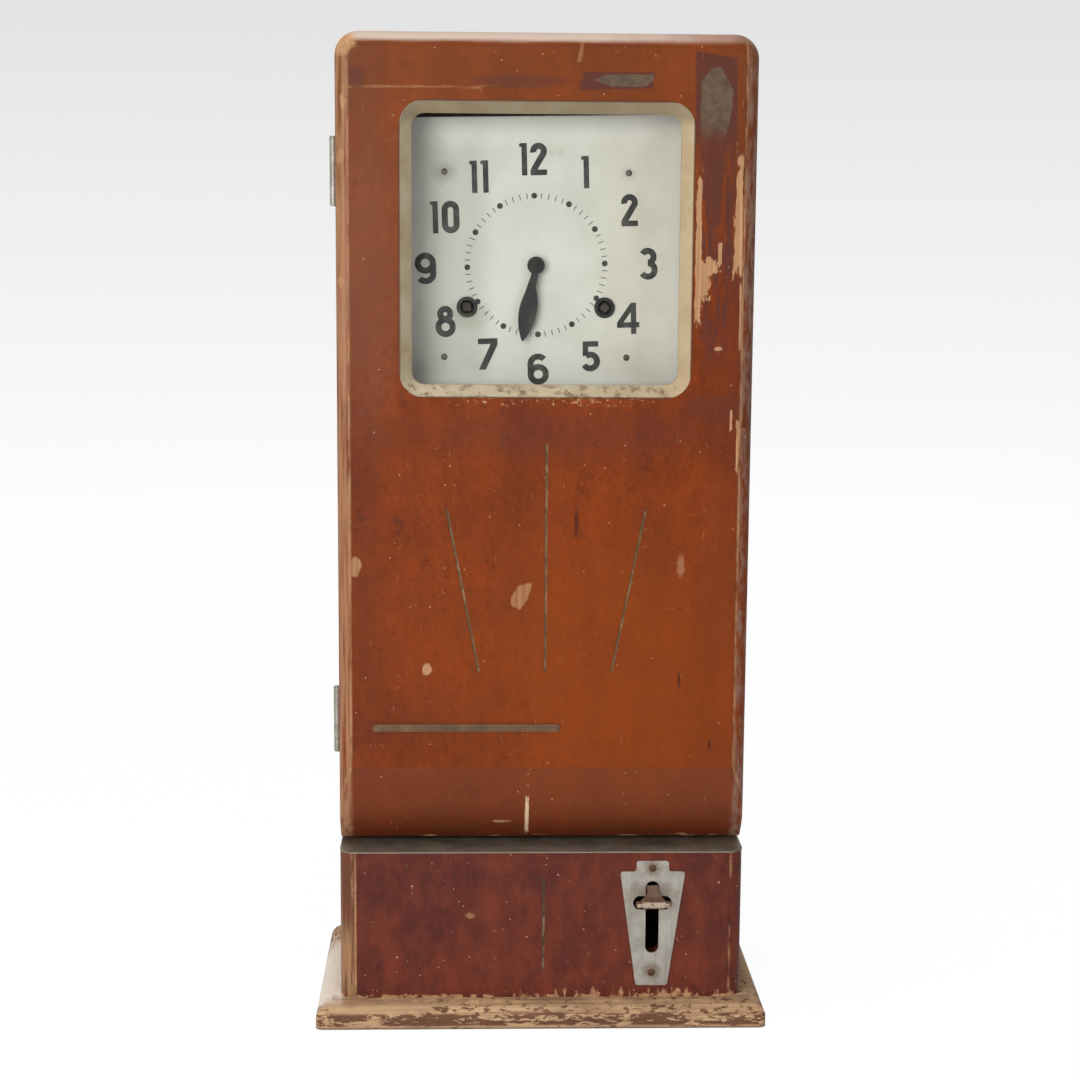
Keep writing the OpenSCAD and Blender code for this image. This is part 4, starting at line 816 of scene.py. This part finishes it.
f = metal("worn_plate_steel", srgb(184, 179, 169), srgb(158, 152, 142), 0.45,
          streak=(4, 60, 60), shiny=0.5)
handled = f.most(
    *(f.spot(PLATE_X, z, 7, 7, f.ragged(4, 1.2), 0.5) for z in PLATE_SCREWS_Z),
    f.times(f.spot(PLATE_X, LEVER_Z, 24, 12, f.ragged(6, 1.2), 0.5), 0.6),
)
soil = f.times(
    f.most(f.specks((3.0, 20, 3.0), 0.30, 0.3), f.specks((7, 20, 3.4), 0.22, 0.3, (2, 0, 5))),
    f.ramp(f.noise(16, 3, 0.6, (1, 1, 4)), 0.40, 0.54),
)
f.colour(f.layers(f.stained, (soil, 0.7, srgb(84, 72, 58)), (handled, 0.6, srgb(112, 84, 58))))
dress(f, "lever_escutcheon")

f = metal("worn_table_steel", srgb(142, 130, 114), srgb(108, 95, 80), 0.45, 26, (70, 6, 3), 0.04, 0.4)
table_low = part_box("card_table")[0]
table_y, table_z = table_low.y / MM, table_low.z / MM
front = f.ramp(f.y, table_y + 1.2, table_y + 0.3)
# A pale line along the lower front edge: a painted highlight.
lip_highlight = f.times(front, f.torn(f.z, table_z + 0.6, table_z + 0.3, (30, 3, 2), 0.5))
f.colour(f.layers(f.stained, (front, 0.7, srgb(92, 80, 70)), (lip_highlight, 0.6, srgb(196, 190, 180))))
dress(f, "card_table")

dress(
    metal("rusty_screws", srgb(104, 78, 60), srgb(70, 46, 34), 0.6, 6, rust=0.14, shiny=0.6),
    "escutcheon_screws",
)
dress(
    metal("hinge_steel", srgb(182, 178, 168), srgb(142, 135, 122), 0.45, 14, rust=0.02, shiny=0.6),
    "case_hinge_leaves", "door_hinge_leaves", "hinge_pins", "door_catch", "catch_tongue",
)
dress(
    metal("dark_screws", srgb(120, 112, 100), srgb(84, 74, 64), 0.5, 8),
    "case_hinge_screws", "door_hinge_screws",
)
dress(
    metal("bronze_bar", srgb(118, 88, 62), srgb(90, 66, 46), 0.5, 16, (60, 6, 3), shiny=0.4),
    "trim_bar",
)
f = metal("clock_brass", srgb(206, 168, 92), srgb(168, 128, 62), 0.34, 26)
dial_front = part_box("dial_plate")[0].y / MM
tips = f.ramp(f.y, dial_front, dial_front - 1)
f.colour(f.mix(tips, f.stained, srgb(58, 55, 50)))
dress(
    f,
    "movement_front_plate", "movement_back_plate", "movement_pillars", "motion_wheel",
    "centre_arbor", "third_wheel", "escape_wheel", "intermediate_wheel", "going_barrel",
    "printing_barrel", "lifting_wheel", "pendulum_cock", "pendulum_bob", "minute_type_wheel",
    "hour_type_wheel",
)
dress(
    metal("bright_steel", srgb(170, 168, 164), srgb(126, 122, 116), 0.35, 20),
    "anchor", "pendulum_rod", "ratchet_clicks", "hammer", "rock_shaft",
)
dress(
    metal("rusty_arbors", srgb(82, 70, 60), srgb(54, 45, 39), 0.55, 8, rust=0.06, shiny=0.5),
    "going_winding_arbor", "printing_winding_arbor",
)
print("metals ready")


# %% Paints on iron
def paint(name, main, worn, rough=0.5, share=0.66):
    """Dusty paint on iron, rubbed through where a noise is above a share."""
    f = Finish(name, rough, shine=0.4)
    cloud = f.noise(12, 5, 0.65)
    rubbed = f.ramp(f.noise(4, 5, 0.7, (3, 1, 2)), share, share + 0.06)
    dust = f.ramp(f.noise(20, 4, 0.6, (6, 1, 2)), 0.5, 0.75)
    f.cover = f.layers(
        f.mix(f.ramp(cloud, 0.35, 0.7), main, toned(main, 0.7)),
        (dust, 0.3, srgb(120, 116, 104)),
    )
    f.colour(f.mix(rubbed, f.cover, worn))
    f.rough(f.scaled(cloud, 0.25, rough - 0.1))
    f.bump(f.noise(2.5, 4, 0.6), 0.04)
    return f


dress(paint("hand_black", srgb(40, 39, 36), srgb(92, 84, 74)), "minute_hand", "hour_hand", "hand_nut")
dress(paint("grommet_black", srgb(42, 40, 37), srgb(84, 66, 52), 0.6), "winding_grommets")
dress(paint("dial_screw_grey", srgb(120, 118, 108), srgb(84, 74, 62), share=0.5), "dial_screws")
dress(paint("cast_black", srgb(36, 35, 34), srgb(90, 84, 78), 0.55), "printer_bridge", "hammer_stand")
dress(paint("spool_black", srgb(44, 43, 42), srgb(100, 96, 90), 0.4), "left_spool", "right_spool")
f = paint("lever_brown", srgb(104, 68, 50), srgb(176, 160, 138))
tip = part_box("print_lever")[0].y / MM
rubbed = f.times(
    f.torn(f.y, tip + 2.4, tip + 0.8, 4, 1.6),
    f.ramp(f.noise(3, 4, 0.6, (2, 2, 2)), 0.34, 0.5),
)
f.colour(f.layers(f.cover, (rubbed, 0.85, srgb(184, 168, 146))))
dress(f, "print_lever")
f = Finish("ribbon_cloth", 0.85, shine=0.2)
weave = f.times(*(f.math("SINE", f.times(axis, 9.0)) for axis in (f.x, f.y)))
f.colour(f.mix(f.ramp(weave, -1, 1), srgb(28, 26, 36), srgb(46, 42, 56)))
f.bump(weave, 0.05)
dress(f, "ink_ribbon")
print("paints ready")

# %% [markdown]
# ## The dial and its printing
# The dial is a painted sheet, pale with a green cast and yellowed toward the right, with small
# stains. Its figures are plain sign-painter's numerals with one stroke width. They are built from
# arcs and bars, joined into one outline by a constrained triangulation, and then given a hair of
# thickness so that they are ink on the dial and not a hole in it.

# %% Dial paint
DIAL_LOW, DIAL_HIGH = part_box("dial_plate")
nut = sum(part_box("hand_nut"), Vector()) / 2 / MM
DIAL = Vector((nut.x, DIAL_LOW.y / MM, nut.z))
sheet = (DIAL_LOW + DIAL_HIGH) / 2 / MM
f = Finish("dial_paint", 0.5, shine=0.35)
cloud = f.noise(50, 4, 0.6)
shaded = f.times(f.ramp(f.x, -38, -62), f.ramp(f.x, -118, -98))
blot = f.times(f.ramp(f.noise(14, 5, 0.65), 0.58, 0.72), f.ramp(f.noise(60, 2), 0.48, 0.62))
edge = f.most(f.near(f.x, sheet.x, 124), f.near(f.z, sheet.z, 120))
rust = f.most(
    f.spot(DIAL.x - 78, DIAL.z + 78, 9, 7, f.ragged(6, 0.8), 0.6),
    f.times(f.spot(DIAL.x - 58, DIAL.z - 42, 16, 12, f.ragged(6, 0.8), 0.6), 0.7),
    f.times(f.spot(DIAL.x + 78, DIAL.z + 78, 6, 5, f.ragged(6, 0.8), 0.6), 0.5),
)
f.colour(f.layers(
    f.mix(f.ramp(cloud, 0.35, 0.7), srgb(229, 231, 219), srgb(218, 219, 206)),
    (f.ramp(f.x, 20, 120), 0.5, srgb(208, 196, 166)),
    (shaded, 0.7, srgb(198, 200, 187)),
    (blot, 0.4, srgb(176, 168, 144)),
    # Lighter toward the rim of the dial, where the sunk window shades it: painted light.
    (f.torn(edge, 0.70, 0.95, 22, 0.25), 0.6, srgb(246, 247, 238)),
    (rust, 0.4, srgb(120, 108, 90)),
    (f.specks(6, 0.09, 0.25), 0.7, srgb(92, 76, 60)),
))
f.rough(f.scaled(cloud, 0.2, 0.4))
f.bump(f.noise(3, 4, 0.6), 0.03)
dress(f, "dial_plate")
ink = Finish("dial_ink", 0.5, shine=0.3)
faded = ink.noise(9, 5, 0.65)
ink.colour(ink.mix(ink.ramp(faded, 0.4, 0.75), srgb(52, 52, 48), srgb(92, 92, 86)))
ink.rough(ink.scaled(faded, 0.2, 0.4))
print("dial centre at", tuple(round(v, 1) for v in DIAL))

# %% Numerals
# The stroke, half the height of a figure and the ink's thickness in mm; the figures' turn in degrees.
STROKE, TALL, INK_THICK = 5.2, 13.5, 0.12
FIGURE_TURN = 1.7


def arc(cx, cz, r, start, stop, rz=None, steps=26):
    """Middle line of a curved stroke, by degrees from the right, anticlockwise."""
    angles = [math.radians(start + (stop - start) * i / steps) for i in range(steps + 1)]
    return [(cx + r * math.cos(a), cz + (rz or r) * math.sin(a)) for a in angles]


def stroke(line):
    """The four-sided pieces of a stroke of even width along a middle line."""
    left, right = [], []
    for i, p in enumerate(line):
        a, b = Vector(line[max(i - 1, 0)]), Vector(line[min(i + 1, len(line) - 1)])
        along = (b - a).normalized()
        off = Vector((-along.y, along.x)) * STROKE / 2
        left.append(Vector(p) + off)
        right.append(Vector(p) - off)
    return [[left[i], right[i], right[i + 1], left[i + 1]] for i in range(len(line) - 1)]


def shape(*points):
    return [[Vector(p) for p in points]]


def bar(x0, z0, x1, z1):
    return shape((x0, z0), (x1, z0), (x1, z1), (x0, z1))


def six(sign):
    """A six, or with the sign turned, a nine."""
    bowl = stroke(arc(0, -4.6 * sign, 6.5, 0, 360, rz=6.3, steps=48))
    tail = stroke([(-6.5 * sign, -4.7 * sign), (-6.5 * sign, 0), (-6.5 * sign, 4.5 * sign)])
    start, stop = (180, 38) if sign > 0 else (0, -142)
    return bowl + tail + stroke(arc(0, 4.3 * sign, 6.5, start, stop, rz=6.3))


FIGURES = {
    "0": stroke(arc(0, 6.1, 4.9, 180, 0)) + stroke(arc(0, -6.1, 4.9, 0, -180))
    + bar(-7.5, -6.2, -2.3, 6.2) + bar(2.3, -6.2, 7.5, 6.2),
    "1": bar(-2.3, -TALL, 2.3, TALL)
    + shape((-2.3, 13.5), (-3.6, 13.3), (-4.3, 12.3), (-4.2, 10.6), (-2.3, 10.2)),
    "2": stroke(arc(0.1, 6.4, 4.5, 192, -28) + [(-0.4, -2.8), (-4.6, -9.6)])
    + bar(-7, -TALL, 7, -8.8) + shape((-7, -9.2), (-1.8, -8.9), (-4.0, -6.0)),
    "3": stroke(arc(-0.3, 5.9, 5.0, 152, -90)) + stroke(arc(-0.2, -5.2, 5.7, 90, -150)),
    "4": bar(2.4, -13.3, 7, 13.3) + bar(-9.6, -7.8, 9.6, -3.2)
    + shape((2.6, 13.3), (-9.6, -3.4), (-9.6, -5.5), (-4.2, -3.6), (2.5, 5.6)),
    "5": bar(-6.2, 8.2, 7, 12.9)
    + shape((-6.2, 12.5), (-6.6, 0.2), (-3.6, 0.8), (-1.7, 3.2), (-1.5, 12.5))
    + stroke(arc(-0.2, -4.4, 5.9, 128, -152)),
    "6": six(1),
    "7": bar(-8.4, 8.6, 8.4, 13.4)
    + shape((8.4, 9), (8.2, 7.6), (-2.2, -13.2), (-8.2, -13.2), (2.6, 9)),
    "8": stroke(arc(0, 6.4, 4.3, 0, 360, steps=48)) + stroke(arc(0, -4.6, 6.1, 0, 360, steps=48)),
    "9": six(-1),
}
PLACES = {
    "12": (-2.9, 89), "1": (42, 78.5), "2": (79, 47), "3": (95.5, 2), "4": (79, -44.5),
    "5": (47, -77), "6": (2.4, -88), "7": (-40.6, -75.5), "8": (-77, -48), "9": (-94, -3.3),
    "10": (-77, 40), "11": (-48, 74),
}
SPREAD = {"10": (-8.6, 4.3), "11": (-4.6, 4.9), "12": (-7.6, 4.4)}


def ink_solid(name, pieces):
    """Joins flat pieces in the dial plane into one sheet of ink that lies on the dial."""
    points, faces = [], []
    for piece in pieces:
        spin = sum(a.cross(b) for a, b in zip(piece, piece[1:] + piece[:1]))
        faces.append(list(range(len(points), len(points) + len(piece))))
        points += piece if spin > 0 else piece[::-1]
    flat, _, tris, *sources = delaunay_2d_cdt(points, [], faces, 1, 1e-4)
    tris = [t for t, source in zip(tris, sources[2]) if source]
    rims = dict.fromkeys((a, b) for t in tris for a, b in zip(t, t[1:] + t[:1]))
    n = len(flat)
    verts = [(p.x * MM, y * MM, p.y * MM) for y in (DIAL.y, DIAL.y - INK_THICK) for p in flat]
    solid = [tuple(reversed(t)) for t in tris] + [tuple(v + n for v in t) for t in tris]
    solid += [(a, b, b + n, a + n) for a, b in rims if (b, a) not in rims]
    mesh = bpy.data.meshes.new(name)
    mesh.from_pydata(verts, [], solid)
    mesh.validate()
    mesh.materials.append(ink.mat)
    thing = bpy.data.objects.new(name, mesh)
    scene.collection.objects.link(thing)
    return thing


turned = Matrix.Rotation(math.radians(FIGURE_TURN), 2)
for text, (x, z) in PLACES.items():
    place = Vector((DIAL.x + x, DIAL.z + z))
    pieces = [
        [turned @ Vector((p.x + shift, p.y)) + place for p in piece]
        for digit, shift in zip(text, SPREAD.get(text, (0,)))
        for piece in FIGURES[digit]
    ]
    figure = ink_solid("numeral_" + text, pieces)
    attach(figure, "case")
print("twelve numerals on the dial")

# %% [markdown]
# ## The minute ring
# Sixty marks stand in a circle: a dot at each fifth, a thin tick between. That is a rule, so
# Geometry Nodes make it. A circle gives sixty points, the index picks dots or ticks, and each mark
# is turned to point at the middle.

# %% Minute ring by Geometry Nodes
MARKS, MARKS_PER_DOT, DOT_SIDES = 60, 5, 28
RING_TURN, RING_LIFT = 1.9, 0.05
RING_SIZES = {
    "Radius": 0.0585, "Tick length": 0.0047, "Tick width": 0.0007, "Dot radius": 0.0025,
    "Thickness": 0.0001,
}


def ring_tree():
    tree = bpy.data.node_groups.new("minute_ring", "GeometryNodeTree")
    tree.interface.new_socket("Geometry", in_out="OUTPUT", socket_type="NodeSocketGeometry")
    for label, value in RING_SIZES.items():
        socket = tree.interface.new_socket(label, in_out="INPUT", socket_type="NodeSocketFloat")
        socket.default_value = value
    g = Tree(tree)
    given = g.add("NodeGroupInput").outputs
    thick = given["Thickness"]
    circle = g.add("GeometryNodeMeshCircle", Vertices=MARKS, Radius=given["Radius"])
    size = g.add("CombineXYZ", X=given["Tick length"], Y=given["Tick width"], Z=thick)
    tick = g.add("GeometryNodeMeshCube", Size=size.outputs[0])
    dot = g.add("GeometryNodeMeshCylinder", Vertices=DOT_SIDES, Radius=given["Dot radius"], Depth=thick)
    index = g.add("GeometryNodeInputIndex").outputs[0]
    is_dot = g.math("LESS_THAN", g.math("MODULO", index, MARKS_PER_DOT), 0.5)
    is_tick = g.math("SUBTRACT", 1, is_dot)
    spin = g.add("CombineXYZ", Z=g.times(index, math.tau / MARKS)).outputs[0]
    joined = g.add("GeometryNodeJoinGeometry")
    for mark, pick in ((tick, is_tick), (dot, is_dot)):
        placed = g.add("GeometryNodeInstanceOnPoints", Points=circle.outputs[0],
                       Instance=mark.outputs[0], Selection=pick, Rotation=spin)
        g.feed(joined.inputs[0], placed.outputs[0])
    real = g.add("GeometryNodeRealizeInstances", Geometry=joined.outputs[0])
    inked = g.add("GeometryNodeSetMaterial", Geometry=real.outputs[0], Material=ink.mat)
    g.feed(g.add("NodeGroupOutput").inputs[0], inked.outputs[0])
    return tree


def grown(name, tree, place):
    """Runs a tree once, keeps its result as a plain mesh and moves that mesh to its place."""
    carrier = bpy.data.objects.new(name, bpy.data.meshes.new(name))
    scene.collection.objects.link(carrier)
    rule = carrier.modifiers.new("rule", "NODES")
    rule.node_group = tree
    shown = carrier.evaluated_get(bpy.context.evaluated_depsgraph_get())
    made = bpy.data.meshes.new_from_object(shown)
    carrier.modifiers.remove(rule)
    made.transform(place)
    carrier.data = made
    made.name = name
    return carrier


middle = Matrix.Translation((DIAL.x * MM, (DIAL.y - RING_LIFT) * MM, DIAL.z * MM))
upright = middle @ Matrix.Rotation(math.pi / 2, 4, "X")
aimed = upright @ Matrix.Rotation(math.radians(RING_TURN), 4, "Z")
ring = grown("minute_ring", ring_tree(), aimed)
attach(ring, "case")
print("minute ring:", len(ring.data.polygons), "faces")
